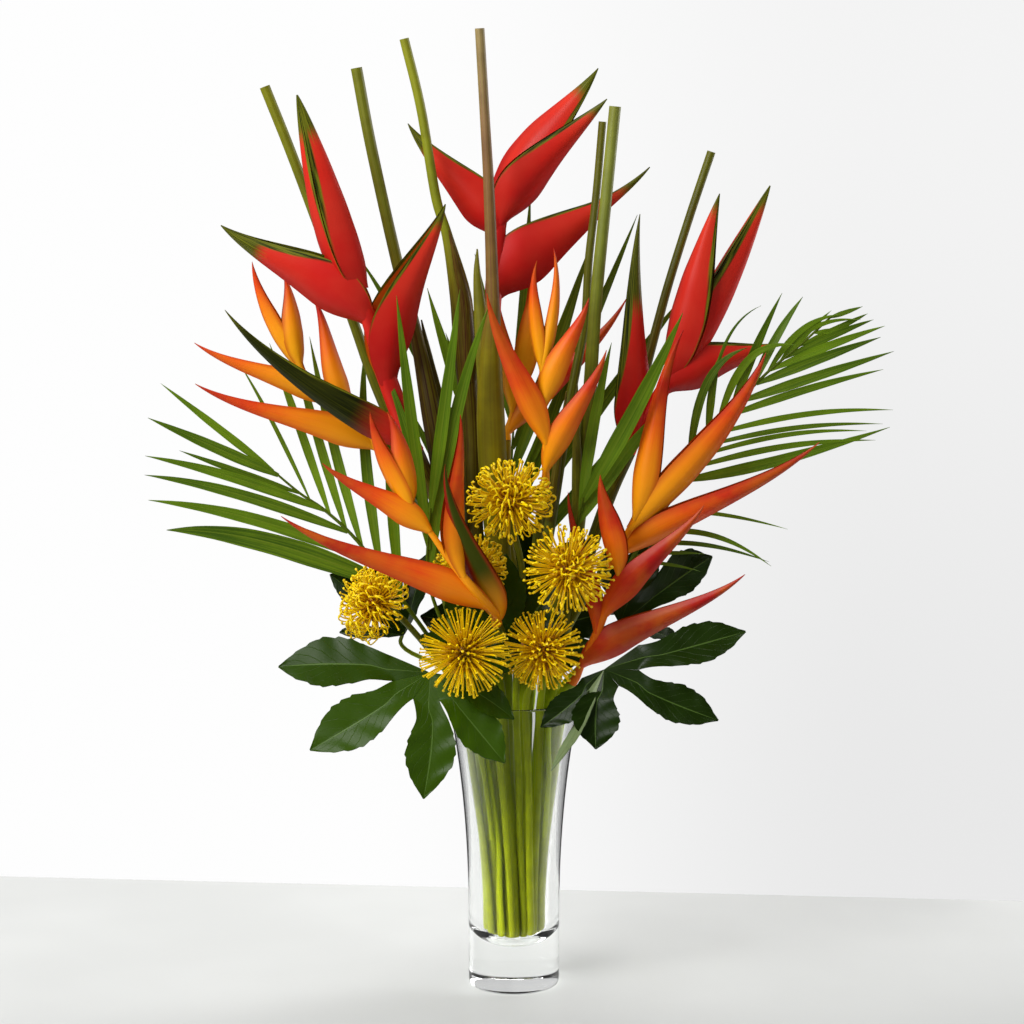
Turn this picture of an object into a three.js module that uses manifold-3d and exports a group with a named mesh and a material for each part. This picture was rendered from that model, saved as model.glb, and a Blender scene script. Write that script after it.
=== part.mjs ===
// A tall tropical arrangement in a clear glass vase: red lobster-claw heliconias, orange parakeet
// heliconias, yellow pincushion flowers, palm fronds and palmate glossy leaves, with the trimmed leaf
// stalks left standing. Millimetres, +Z up, -Y towards the viewer. The origin is the middle of the vase's
// flat foot.
import * as THREE from 'three';
import Module from 'manifold-3d';

const wasm = await Module();
wasm.setup();

// ---------------------------------------------------------------- driving dimensions

const VASE = {
  footRadius: 42,
  baseRadius: 46.5,
  flareStart: 90,
  rimRadius: 67,
  height: 300,
  rimWall: 5,
  floorHeight: 43,
  boreRadius: 33,
  sides: 32,
};

const CLEARANCE = 0.8; // between stems that lean on each other or on the glass
const PIECE_GAP = 0.4; // between a stalk and the bloom on it
const TWIST = THREE.MathUtils.degToRad(28); // how far the stems turn round each other inside the vase
const BOWL_TOP = 66; // the cavity's floor is a bowl below this height
const REST_HEIGHTS = [BOWL_TOP, 105, 160, 225, 303]; // where the stems' places in the vase are settled

// Each stem: the place it is pushed into at the mouth of the vase, its radius there, and how low its end
// reaches.
const STEMS = {
  red_left: { mouth: [-33, 4], radius: 8.6, end: BOWL_TOP },
  red_middle: { mouth: [-10, 6], radius: 8.8, end: BOWL_TOP },
  red_right: { mouth: [36, 20], radius: 8.4, end: BOWL_TOP },
  orange_left: { mouth: [-42, 22], radius: 7.6, end: BOWL_TOP },
  orange_front: { mouth: [-16, -14], radius: 8.4, end: BOWL_TOP },
  orange_middle: { mouth: [12, -8], radius: 8.2, end: BOWL_TOP },
  orange_right: { mouth: [38, -8], radius: 8, end: BOWL_TOP },
  orange_behind: { mouth: [4, 28], radius: 5, end: BOWL_TOP },
  orange_low: { mouth: [47, -28], radius: 5, end: BOWL_TOP },
  pincushion_1: { mouth: [2, -32], radius: 3.5, end: BOWL_TOP },
  pincushion_2: { mouth: [27, -36], radius: 3.5, end: BOWL_TOP },
  pincushion_3: { mouth: [-54, -14], radius: 3.5, end: BOWL_TOP },
  pincushion_4: { mouth: [-22, -46], radius: 3.5, end: BOWL_TOP },
  pincushion_5: { mouth: [12, -50], radius: 3.5, end: BOWL_TOP },
  pincushion_6: { mouth: [-30, -28], radius: 3.5, end: BOWL_TOP },
  palm_left: { mouth: [-57, 6], radius: 3.2, end: BOWL_TOP },
  palm_right: { mouth: [56, 2], radius: 3.2, end: BOWL_TOP },
  palm_front_left: { mouth: [-36, -36], radius: 2.6, end: BOWL_TOP },
  palm_front_right: { mouth: [26, -20], radius: 2.6, end: BOWL_TOP },
  palm_back: { mouth: [-14, 46], radius: 3, end: BOWL_TOP },
  leaf_left: { mouth: [-44, -42], radius: 2.4, end: 160 },
  leaf_right: { mouth: [40, -45], radius: 2.4, end: 160 },
  leaf_back_left: { mouth: [-50, 36], radius: 2.4, end: 160 },
  leaf_back_right: { mouth: [50, 34], radius: 2.4, end: 160 },
  leaf_back: { mouth: [20, 52], radius: 2.4, end: 160 },
};

// The heliconia plants above the vase. Points are [x, y, z, radius]. The leaf stalk is the trimmed, upright
// one; the flower stalk leaves the same stem; the sheath is the pointed end of an old leaf base beside it.
const PLANTS = {
  red_left: {
    leafStalk: [[-48, 0, 400, 8], [-66, -9, 500, 10.5], [-80, -6, 580, 11], [-98, 0, 671, 6.5],
      [-116, 0, 740, 6],
      [-140, 0, 850, 5.8], [-154, 0, 927, 5.8]],
    flowerStalk: [[-58, -5, 460, 7], [-82, -18, 516, 8], [-98, -26, 552, 9]],
    sheath: [[-66, -8, 500, 8], [-72, 2, 580, 6.5], [-84, 8, 640, 4], [-92, 10, 680, 0.8]],
  },
  red_middle: {
    leafStalk: [[-12, 4, 400, 11], [-19, -6, 500, 14], [-23, -14, 580, 14.5], [-23, -28, 650, 11],
      [-21, -40, 704, 7],
      [-24, -43, 804, 5.6], [-28, -44, 877, 5], [-33, -44, 964, 4.8]],
    flowerStalk: [[-22, -10, 600, 8], [-22, 12, 652, 8], [-21, 17, 686, 8]],
    sheath: [[-23, -14, 590, 12], [-31, -20, 670, 8], [-36, -22, 725, 4], [-36, -23, 752, 0.8]],
  },
  red_right: {
    leafStalk: [[62, 32, 400, 7], [97, 42, 500, 7], [120, 46, 580, 6], [140, 46, 655, 5], [155, 46, 712, 4.6],
      [176, 46, 781, 4.4], [197, 46, 845, 4.4]],
    flowerStalk: [[76, 36, 440, 6], [98, 28, 505, 7], [115, 22, 546, 7.5]],
    sheath: [[92, 40, 490, 6], [108, 52, 560, 4], [118, 56, 610, 0.8]],
  },
  orange_left: {
    leafStalk: [[-64, 34, 380, 6.5], [-92, 36, 480, 6.5], [-118, 34, 560, 6], [-142, 31, 621, 5.6],
      [-165, 28, 689, 5.4], [-215, 25, 829, 5.4], [-246, 25, 909, 5.4]],
    flowerStalk: [[-88, 35, 466, 5], [-112, 22, 512, 5], [-134, 8, 548, 4.8]],
    sheath: [[-98, 36, 500, 6], [-116, 46, 560, 3.5], [-126, 50, 600, 0.8]],
  },
  orange_front: {
    leafStalk: [[-32, -10, 400, 8], [-40, 4, 480, 9], [-43, 12, 572, 10], [-50, 4, 661, 11],
      [-53, 0, 705, 11],
      [-66, -4, 765, 5.4], [-77, -5, 803, 5], [-91, -5, 888, 4.8], [-107, -5, 955, 4.8]],
    flowerStalk: [[-22, -14, 345, 5.5], [-14, -50, 372, 5.5], [-17, -76, 390, 5.5]],
    sheath: [[-46, 6, 620, 9], [-48, -4, 690, 7], [-56, -10, 735, 4], [-64, -12, 770, 0.8]],
  },
  orange_middle: {
    leafStalk: [[24, -2, 400, 6.5], [40, 4, 500, 6], [56, 8, 600, 5], [70, 10, 675, 4.4], [74, 10, 739, 4.2],
      [81, 10, 803, 4], [87, 10, 875, 4]],
    flowerStalk: [[22, -3, 390, 5], [22, -18, 450, 5], [30, -42, 520, 4.8]],
    sheath: [[36, 2, 480, 6], [46, -4, 560, 3.5], [52, -6, 610, 0.8]],
  },
  orange_right: {
    leafStalk: [[54, -14, 400, 7], [66, -18, 502, 7.5], [74, -22, 601, 7], [80, -25, 699, 6.4],
      [90, -26, 805, 6],
      [98, -26, 890, 6]],
    flowerStalk: [[46, -11, 360, 5], [70, -16, 404, 5], [93, -20, 436, 4.8]],
    sheath: [[64, -18, 480, 7], [62, -28, 560, 4.5], [62, -32, 620, 0.8]],
  },
  orange_behind: { flowerStalk: [[2, 44, 400, 4.4], [-8, 48, 480, 4.2], [-7, 42, 556, 4.2]] },
  orange_low: { flowerStalk: [[58, -38, 322, 4.8]] },
};

// The side view of a bract: its depth along its length, each as a share of the whole.
const BROAD = [[0, 0.5], [0.16, 0.82], [0.34, 1], [0.54, 0.86], [0.76, 0.46]];
const CLASPING = [[0, 0.48], [0.14, 0.8], [0.28, 1], [0.52, 0.7], [0.78, 0.32]];
const SPURRED = [[0, 0.48], [0.14, 0.8], [0.28, 1], [0.54, 0.58], [0.76, 0.18]];
const SLENDER = [[0, 0.42], [0.22, 1], [0.38, 0.82], [0.56, 0.55], [0.78, 0.28]];
const NARROW = [[0, 0.42], [0.26, 1], [0.42, 0.86], [0.62, 0.56], [0.82, 0.27]];

// Blooms: the axis [x, y, z, radius] from its stalk upwards, and its boat-shaped bracts from the lowest to
// the top one. `at` is the bract's place along the axis, `open` the side its fold opens to where it isn't
// simply upwards.
const RED = { depth: 46, gape: 13, bow: 0.04, curl: 0.35, lip: 0.3, clasp: 1 };
const ORANGE = { depth: 25, gape: 8, bow: 0.02, curl: 0.35, lip: 0.3, clasp: 1.3 };

const BLOOMS = {
  red_left: {
    kind: RED,
    axis: [[-98, -26, 552, 9.5], [-112, -31, 590, 11], [-127, -36, 634, 12], [-139, -40, 678, 12],
      [-152, -42, 712, 12], [-171, -43, 738, 12]],
    bracts: [
      { at: 0.12, tip: [-280, -58, 695], shape: NARROW, depth: 33, gape: 9 },
      {
        at: 0.6, tip: [-66, -60, 797], shape: CLASPING, depth: 50, gape: 15, lip: 0.6, bow: -0.02, curl: 0.25,
        open: [-0.6, -0.45, 0.65],
      },
      {
        at: 0.92, tip: [-284, -45, 776], shape: CLASPING, depth: 53, clasp: 0.6, bow: 0.02,
        open: [-0.1, -0.3, 1],
      },
      {
        at: 1, tip: [-209, -42, 901],
          shape: BROAD, depth: 41, gape: 18, lip: 0.04, clasp: 0.6, bow: 0.03, curl: 0.1,
        open: [-0.35, -0.93, 0],
      },
    ],
  },
  red_middle: {
    kind: RED,
    axis: [[-21, 17, 686, 8], [-20, 18, 712, 10], [-17, 19, 750, 11], [-13, 20, 785, 10], [-6, 20, 812, 9]],
    bracts: [
      { at: 0.5, tip: [135, 34, 830], shape: SPURRED, depth: 58, gape: 12, clasp: 0.5, bow: 0.02 },
      { at: 0.84, tip: [-105, 26, 873], shape: CLASPING, depth: 44, gape: 11, clasp: 0.7 },
      {
        at: 1, tip: [83, 26, 927],
          shape: BROAD, depth: 50, gape: 12, lip: 0.1, clasp: 0.5, bow: 0.13, curl: -0.1,
        open: [0.5, -0.55, -0.6],
      },
      {
        at: 1, tip: [91, 2, 897],
          shape: CLASPING, depth: 50, gape: 15, lip: 0.15, clasp: 0.6, bow: -0.04, curl: 0.1,
        open: [-0.5, -0.5, 0.7],
      },
    ],
  },
  red_right: {
    kind: RED,
    axis: [[115, 22, 546, 7.5], [128, 20, 572, 9], [146, 18, 604, 10], [163, 18, 632, 9], [174, 17, 656, 8]],
    bracts: [
      {
        at: 0.25, tip: [124, 0, 785], shape: SLENDER, depth: 42, gape: 12, lip: 0.1, bow: -0.02, curl: -0.15,
        open: [-0.95, -0.3, 0],
      },
      { at: 0.92, tip: [263, 26, 655], shape: CLASPING, depth: 46, gape: 12 },
      {
        at: 1, tip: [202, -2, 805], shape: BROAD, depth: 46, gape: 17, lip: 0.1, bow: 0.02, curl: 0.1,
        open: [0.75, -0.65, 0],
      },
      {
        at: 1, tip: [254, 24, 812], shape: BROAD, depth: 46, gape: 15, lip: 0.2, bow: 0.04, curl: 0.1,
        open: [-0.55, -0.6, 0.5],
      },
    ],
  },
  orange_left: {
    kind: ORANGE,
    axis: [[-134, 8, 548, 4.8], [-146, 5, 566, 5.4], [-166, 5, 590, 6], [-193, 5, 614, 6], [-213, 5, 634, 5],
      [-226, 5, 658, 4.4]],
    bracts: [
      { at: 0.34, tip: [-316, -8, 618], shape: SLENDER, depth: 32 },
      { at: 0.56, tip: [-200, 16, 704], shape: NARROW, depth: 24 },
      { at: 0.7, tip: [-317, 0, 658], shape: SLENDER, depth: 27 },
      { at: 0.94, tip: [-259, 5, 738], shape: BROAD, depth: 20, gape: 6, open: [0.8, -0.4, 0.3], bow: 0.04 },
      { at: 0.98, tip: [-228, 8, 724], shape: BROAD, depth: 22, gape: 7, open: [-0.9, -0.3, 0], bow: 0 },
    ],
  },
  orange_front: {
    kind: ORANGE,
    axis: [[-17, -76, 390, 5.5], [-19, -104, 406, 6], [-38, -122, 431, 7], [-60, -124, 459, 7],
      [-80, -122, 487, 6],
      [-98, -120, 512, 5.5], [-106, -118, 528, 5]],
    bracts: [
      {
        at: 0.14, tip: [-65, -146, 556], shape: NARROW, depth: 32, gape: 9, open: [0.85, -0.2, 0.3],
        bow: -0.07,
      },
      { at: 0.44, tip: [-222, -130, 504], shape: SLENDER, depth: 33, gape: 9 },
      {
        at: 0.62, tip: [-51, -128, 601], shape: NARROW, depth: 29, gape: 9, open: [-0.6, -0.5, 0.3],
        bow: 0.02,
      },
      { at: 0.86, tip: [-183, -122, 554], shape: SLENDER, depth: 27 },
      {
        at: 0.97, tip: [-137, -120, 603], shape: BROAD, depth: 22, gape: 7, open: [0.8, -0.4, 0.3],
        bow: 0.03,
      },
      { at: 1, tip: [-121, -112, 602], shape: BROAD, depth: 24, gape: 7, open: [-0.9, -0.2, 0], bow: 0 },
    ],
  },
  orange_middle: {
    kind: ORANGE,
    axis: [[30, -42, 520, 4.8], [31, -54, 545, 5], [30, -62, 583, 5.4], [27, -65, 618, 5.2],
      [26, -65, 660, 4.6]],
    bracts: [
      { at: 0.42, tip: [89, -78, 658], shape: NARROW, depth: 27, gape: 9 },
      { at: 0.62, tip: [-26, -84, 713], shape: NARROW, depth: 26, gape: 9, lip: 0.9 },
      { at: 0.86, tip: [72, -76, 708], shape: NARROW, depth: 26 },
      { at: 1, tip: [22, -66, 743], shape: BROAD, depth: 15, gape: 5, open: [1, -0.3, 0], bow: 0 },
      { at: 0.96, tip: [38, -60, 755], shape: BROAD, depth: 13, gape: 5, open: [-1, 0, 0], bow: 0.04 },
    ],
  },
  orange_right: {
    kind: ORANGE,
    axis: [[93, -20, 436, 4.8], [102, -28, 452, 5.6], [113, -36, 474, 6.4], [126, -43, 499, 6.4],
      [138, -46, 516, 6]],
    bracts: [
      { at: 0.6, tip: [298, -58, 566], shape: NARROW, depth: 31, gape: 9 },
      {
        at: 0.96, tip: [245, -52, 653], shape: BROAD, depth: 32, gape: 10, open: [-0.8, -0.3, 0.6],
        bow: 0.04,
      },
      { at: 1, tip: [165, -48, 675], shape: NARROW, depth: 28, gape: 9, open: [0.9, -0.3, 0], bow: 0.03 },
    ],
  },
  orange_behind: {
    kind: ORANGE,
    axis: [[-7, 42, 556, 4.2], [-3, 42, 578, 4.6], [4, 42, 606, 4.6], [14, 42, 638, 4.4]],
    bracts: [
      { at: 0.5, tip: [114, 46, 700], shape: NARROW, depth: 25 },
      { at: 0.75, tip: [-17, 52, 712], shape: NARROW, depth: 22 },
      { at: 1, tip: [14, 42, 725], shape: BROAD, depth: 26, gape: 7, open: [-0.9, 0, 0.1], bow: 0 },
    ],
  },
  orange_low: {
    kind: ORANGE,
    axis: [[58, -38, 322, 4.8], [68, -48, 346, 6], [80, -56, 372, 7.5], [92, -62, 405, 7.5],
      [103, -66, 438, 6],
      [109, -66, 460, 5.4]],
    bracts: [
      { at: 0.46, tip: [224, -92, 441], shape: SLENDER, depth: 34, gape: 10 },
      { at: 0.6, tip: [53, -50, 516], shape: NARROW, depth: 20, gape: 7 },
      { at: 0.8, tip: [185, -76, 507], shape: SLENDER, depth: 30, gape: 9 },
      { at: 1, tip: [84, -66, 535], shape: BROAD, depth: 25, gape: 8, open: [0.9, -0.3, 0.2], bow: 0.02 },
    ],
  },
};

// Pincushion heads: centre, the way each faces, and the reach of its curved styles.
const PINCUSHIONS = {
  pincushion_1: {
    centre: [-4, -76, 511], faces: [0.05, -0.8, 0.6], reach: 44, route: [[4, -38, 365], [8, -46, 437]],
  },
  pincushion_2: { centre: [52, -100, 447], faces: [0.15, -0.95, 0.25], reach: 46, route: [[34, -38, 365]] },
  pincushion_3: { centre: [-137, -40, 403], faces: [-0.75, -0.45, 0.5], reach: 41, route: [[-84, -26, 352]] },
  pincushion_4: { centre: [-48, -119, 369], faces: [0, -1, 0.05], reach: 46, route: [[-34, -68, 334]] },
  pincushion_5: { centre: [28, -86, 365], faces: [0.15, -0.95, 0.1], reach: 42, route: [[20, -56, 332]] },
  pincushion_6: { centre: [-42, -62, 440], faces: [-0.3, -0.8, 0.5], reach: 39, route: [[-36, -36, 380]] },
};
const HEAD = { core: 17, around: 9, rows: 5, styleRadius: 1.5, hook: 0.35 };

// Palm fronds: the rachis above the vase and the lines its leaflets' tips reach on either side, base to tip.
const FRONDS = {
  palm_left: {
    rachis: [[-78, 14, 345], [-115, 18, 398], [-158, 22, 455], [-191, 26, 486], [-216, 28, 503],
      [-243, 28, 526]],
    width: 5.4,
    sides: [
      {
        leaflets: 7, from: 0.38, arch: 0.03,
        tips: [[-348, 0, 470], [-369, 5, 515], [-366, 10, 566], [-351, 15, 613]],
      },
      {
        leaflets: 6, from: 0.3, arch: 0.02,
        tips: [[-150, 48, 660], [-200, 48, 657], [-240, 42, 649], [-276, 35, 627]],
      },
    ],
  },
  palm_right: {
    rachis: [[74, 4, 345], [104, 2, 410], [126, 2, 454], [158, 2, 502], [186, 2, 551], [215, 0, 589],
      [249, 0, 626],
      [284, 0, 656], [313, 0, 683]],
    width: 4.4,
    sides: [
      { leaflets: 4, from: 0.24, to: 0.4, arch: 0.14, tips: [[188, -20, 448], [255, -20, 435],
        [262, -20, 447],
        [276, -16, 476]] },
      { leaflets: 11, from: 0.42, to: 0.92, arch: 0.06, tips: [[374, -10, 566], [366, -8, 574],
        [378, -8, 592],
        [374, -5, 645], [366, -2, 673], [350, 0, 688]] },
      { leaflets: 9, from: 0.42, to: 0.98, arch: 0.04, tips: [[184, -24, 665], [217, -20, 709],
        [261, -8, 711], [288, 0, 703],
        [318, 0, 699], [334, 0, 697]] },
    ],
  },
  palm_front_left: {
    rachis: [[-66, -40, 370], [-85, -42, 430], [-82, -52, 500]],
    width: 5.8,
    sides: [
      { leaflets: 1, from: 0.7, arch: 0, tips: [[-113, -74, 710], [-113, -74, 711]] },
      { leaflets: 2, from: 0.5, arch: 0, tips: [[-24, -66, 700], [-52, -70, 716]] },
    ],
  },
  palm_front_right: {
    rachis: [[42, -36, 380], [52, -38, 430], [62, -42, 480], [68, -46, 510]],
    width: 6.4,
    sides: [
      { leaflets: 1, from: 0.7, arch: 0.02, tips: [[150, -34, 600], [150, -34, 601]] },
      { leaflets: 1, from: 0.95, arch: 0.02, tips: [[163, -66, 693], [163, -66, 694]] },
    ],
  },
  palm_back: {
    rachis: [[-12, 78, 380], [-6, 88, 470], [0, 96, 570]],
    width: 6.2,
    sides: [
      {
        leaflets: 5, from: 0.15, arch: 0.02,
        tips: [[-119, 100, 600], [-162, 100, 742], [-89, 105, 705], [-45, 110, 692]],
      },
      { leaflets: 6, from: 0.15, arch: 0.02, tips: [[190, 90, 640], [177, 90, 702], [126, 100, 780],
        [77, 100, 746],
        [60, 105, 700], [17, 112, 805]] },
    ],
  },
};

// Palmate leaves: the hub where the lobes meet, the way the upper face looks, and the lobes' tips in turn.
// A lobe's last number is half its width as a share of its length.
const LEAVES = {
  leaf_left: {
    hub: [-82, -84, 342], faces: [0.05, -0.8, 0.6],
    tips: [[-232, -66, 344, 0.18], [-199, -104, 269, 0.19], [-88, -118, 224, 0.2], [-9, -116, 259, 0.19],
      [0, -104, 300, 0.17]],
  },
  leaf_right: {
    hub: [88, -92, 347], faces: [0.05, -0.8, 0.6],
    tips: [[26, -104, 292, 0.18], [36, -122, 253, 0.13], [79, -124, 275, 0.3], [198, -114, 301, 0.17],
      [226, -85, 383, 0.15]],
  },
  leaf_back_left: {
    hub: [-112, 34, 356], faces: [-0.2, -0.5, 0.85],
    tips: [[-90, 60, 434, 0.19], [-140, 50, 440, 0.19], [-186, 20, 421, 0.19], [-176, 6, 364, 0.19]],
  },
  leaf_back_right: {
    hub: [108, 38, 366], faces: [0.2, -0.5, 0.85],
    tips: [[166, 6, 356, 0.19], [200, 16, 440, 0.24], [140, 50, 452, 0.19], [92, 60, 440, 0.19]],
  },
  leaf_back: {
    hub: [28, 104, 352], faces: [0, 0.6, 0.8],
    tips: [[134, 98, 374, 0.17], [104, 180, 320, 0.17], [22, 206, 290, 0.17], [-52, 172, 330, 0.17],
      [-84, 92, 372, 0.17]],
  },
};
const BLADE_THICKNESS = 1.2;

// ---------------------------------------------------------------- solids

const vector = (p) => new THREE.Vector3(p[0], p[1], p[2]);
const mix = THREE.MathUtils.lerp;

// A closed surface made of triangles, whose shared corners are merged as they are added.
class Skin {
  constructor() {
    this.corners = [];
    this.places = new Map();
    this.faces = [];
  }

  corner(p) {
    const key = [p.x, p.y, p.z].map((v) => Math.round(v * 1e4)).join();
    if (!this.places.has(key)) {
      this.places.set(key, this.corners.length / 3);
      this.corners.push(p.x, p.y, p.z);
    }
    return this.places.get(key);
  }

  triangle(a, b, c) {
    const [i, j, k] = [a, b, c].map((p) => this.corner(p));
    if (i !== j && j !== k && k !== i) this.faces.push(i, j, k);
  }

  quad(a, b, c, d) {
    this.triangle(a, b, c);
    this.triangle(a, c, d);
  }

  solid() {
    const vertProperties = new Float32Array(this.corners);
    const triVerts = new Uint32Array(this.faces);
    return new wasm.Manifold(new wasm.Mesh({ numProp: 3, vertProperties, triVerts }));
  }
}

// Joins rings of equal length into a closed solid. `cap` lists the triangles that close a ring.
function loft(rings, cap) {
  const skin = new Skin();
  const count = rings[0].length;
  for (let row = 0; row + 1 < rings.length; row += 1) {
    for (let i = 0; i < count; i += 1) {
      const next = (i + 1) % count;
      skin.quad(rings[row][i], rings[row][next], rings[row + 1][next], rings[row + 1][i]);
    }
  }
  const closing = cap || Array.from({ length: count - 2 }, (_, i) => [0, i + 1, i + 2]);
  const last = rings[rings.length - 1];
  for (const [a, b, c] of closing) {
    skin.triangle(rings[0][a], rings[0][c], rings[0][b]);
    skin.triangle(last[a], last[b], last[c]);
  }
  return skin.solid();
}

function curveThrough(points) {
  return new THREE.CatmullRomCurve3(points.map(vector), false, 'catmullrom', 0.5);
}

// A round stalk along points [x, y, z, radius].
function stalk(points, sides = 8, stepsPerSpan = 2, reference = [0, 1, 0]) {
  const curve = curveThrough(points);
  const spans = points.length - 1;
  const steps = spans * stepsPerSpan;
  const rings = [];
  for (let step = 0; step <= steps; step += 1) {
    const t = step / steps;
    const span = Math.min(Math.floor(t * spans), spans - 1);
    const radius = mix(points[span][3], points[span + 1][3], t * spans - span);
    const centre = curve.getPoint(t);
    const tangent = curve.getTangent(t);
    const across = vector(reference).cross(tangent).normalize();
    const other = tangent.clone().cross(across);
    rings.push(Array.from({ length: sides }, (_, i) => {
      const angle = (i / sides) * 2 * Math.PI;
      return centre.clone()
        .addScaledVector(across, radius * Math.cos(angle))
        .addScaledVector(other, radius * Math.sin(angle));
    }));
  }
  return loft(rings);
}

// A place on the straight runs between points, at an even share of their number.
function alongLine(points, t) {
  const place = t * (points.length - 1);
  const i = Math.min(Math.floor(place), points.length - 2);
  return vector(points[i]).lerp(vector(points[i + 1]), place - i);
}

const joined = (solids) => solids.reduce((whole, solid) => whole.add(solid));

// ---------------------------------------------------------------- the vase

// The outer and inner wall, from the foot upwards. Both flare in one sweep.
const BOWL = { depth: 22 };
const outerFlare = new THREE.QuadraticBezierCurve(
  new THREE.Vector2(VASE.baseRadius, VASE.flareStart),
  new THREE.Vector2(VASE.baseRadius + 1, 200),
  new THREE.Vector2(VASE.rimRadius, VASE.height - 2),
);
const innerFlare = new THREE.QuadraticBezierCurve(
  new THREE.Vector2(VASE.boreRadius, 70),
  new THREE.Vector2(VASE.boreRadius + 1, 170),
  new THREE.Vector2(VASE.rimRadius - VASE.rimWall, VASE.height - 1),
);

function cavityRadius(height) {
  const { v0, v1, v2 } = innerFlare;
  if (height <= v0.y) return v0.x;
  if (height >= v2.y) return v2.x;
  // The height along the sweep is a quadratic in t, solved for this height.
  const a = v0.y - 2 * v1.y + v2.y;
  const b = 2 * (v1.y - v0.y);
  const c = v0.y - height;
  const t = Math.abs(a) < 1e-9 ? -c / b : (-b + Math.sqrt(b * b - 4 * a * c)) / (2 * a);
  return innerFlare.getPoint(t).x;
}

function vaseGeometry() {
  const { floorHeight, boreRadius } = VASE;
  const middle = floorHeight + BOWL.depth;
  const bowl = new THREE.EllipseCurve(0, middle, boreRadius, BOWL.depth, 0, -Math.PI / 2, true);
  const profile = [
    new THREE.Vector2(0, 0),
    new THREE.Vector2(VASE.footRadius, 0),
    new THREE.Vector2(VASE.baseRadius - 1.5, 3),
    new THREE.Vector2(VASE.baseRadius, 9),
    ...outerFlare.getPoints(4),
    new THREE.Vector2(VASE.rimRadius - VASE.rimWall / 2, VASE.height),
    ...innerFlare.getPoints(4).reverse(),
    ...bowl.getPoints(4).slice(1, -1),
    new THREE.Vector2(0, floorHeight),
  ];
  const geometry = new THREE.LatheGeometry(profile, VASE.sides);
  geometry.rotateX(Math.PI / 2);
  return geometry;
}

// ---------------------------------------------------------------- how the stems stand in the vase

// At each height the stems start where they are pushed in, turned and drawn in towards the foot. Then stems
// that would cross push each other apart and the glass pushes them in, until all are clear.
function settleStems() {
  const settled = Object.fromEntries(Object.keys(STEMS).map((name) => [name, []]));
  const mouthRadius = cavityRadius(VASE.height);
  for (const height of REST_HEIGHTS) {
    const room = cavityRadius(height);
    const share = room / mouthRadius;
    const turn = TWIST * (1 - height / VASE.height);
    const present = Object.entries(STEMS).filter(([, stem]) => stem.end <= height).map(([name, stem]) => {
      const [x, y] = stem.mouth;
      return {
        name,
        radius: stem.radius * mix(0.86, 1, share),
        x: share * (x * Math.cos(turn) - y * Math.sin(turn)),
        y: share * (x * Math.sin(turn) + y * Math.cos(turn)),
      };
    });
    for (let round = 0; round < 600; round += 1) {
      for (let i = 0; i < present.length; i += 1) {
        for (let j = i + 1; j < present.length; j += 1) {
          const [a, b] = [present[i], present[j]];
          const distance = Math.hypot(b.x - a.x, b.y - a.y);
          const push = (a.radius + b.radius + CLEARANCE - distance) / 2;
          if (push > 0) {
            const [nx, ny] = [(b.x - a.x) / distance, (b.y - a.y) / distance];
            a.x -= nx * push;
            a.y -= ny * push;
            b.x += nx * push;
            b.y += ny * push;
          }
        }
      }
      for (const stem of present) {
        const reach = Math.hypot(stem.x, stem.y);
        const most = room - stem.radius - 1.6 * CLEARANCE;
        if (reach > most) {
          stem.x *= most / reach;
          stem.y *= most / reach;
        }
      }
    }
    for (const stem of present) settled[stem.name].push([stem.x, stem.y, height, stem.radius]);
  }
  // The stems that reach the bottom stand on the bowl, where it is as wide as they need.
  for (const [name, stem] of Object.entries(STEMS)) {
    if (stem.end === BOWL_TOP) {
      const [x, y, , radius] = settled[name][0];
      const reach = (0.96 * Math.hypot(x, y) + radius + 0.5) / VASE.boreRadius;
      const depth = BOWL.depth * Math.sqrt(1 - Math.min(1, reach) ** 2);
      settled[name].unshift([0.96 * x, 0.96 * y, VASE.floorHeight + BOWL.depth - depth + 1.2, radius]);
    }
  }
  return settled;
}

// ---------------------------------------------------------------- heliconias

// A boat-shaped bract: a blade folded along its keel, with a groove along the open upper edge. It leaves
// the axis below its own place, bows out and curls up to its tip. Six points go round each section: five
// from edge over keel to edge, one at the bottom of the groove.
const BRACT_CAP = [[0, 1, 5], [1, 2, 5], [2, 3, 5], [3, 4, 5]];

function bract(axis, kind, spec) {
  const { at, shape, depth, gape, bow, curl, lip, clasp } = { ...kind, ...spec };
  const root = axis.getPoint(at);
  const along = axis.getTangent(at);
  const tip = vector(spec.tip);
  const chord = tip.clone().sub(root);
  const length = chord.length();
  chord.normalize();
  const open = spec.open ? vector(spec.open) : along.clone();
  open.addScaledVector(chord, -open.dot(chord)).normalize();
  const side = open.clone().cross(chord);
  const tipWay = chord.clone().addScaledVector(open, curl).normalize();
  const curve = new THREE.CubicBezierCurve3(
    axis.getPoint(Math.max(0.04, at - (clasp * depth) / axis.getLength())),
    root.clone().addScaledVector(chord, 0.12 * length).addScaledVector(open, -bow * length),
    tip.clone().addScaledVector(tipWay, -0.4 * length),
    tip,
  );
  const rings = shape.map(([u, share]) => {
    const high = depth * share;
    const wide = gape * share ** (0.5 + Math.min(0.3, u)); // the base stays rounder than the tip
    const normal = curve.getTangent(u).cross(side).normalize();
    const centre = curve.getPoint(u);
    return [[-lip, 0.5], [-1, 0.02], [0, -0.5], [1, 0.02], [lip, 0.5], [0, 0.14]].map(
      ([s, n]) => centre.clone().addScaledVector(side, s * wide).addScaledVector(normal, n * high),
    );
  });
  rings.push(rings[0].map(() => tip));
  return loft(rings, BRACT_CAP);
}

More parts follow.
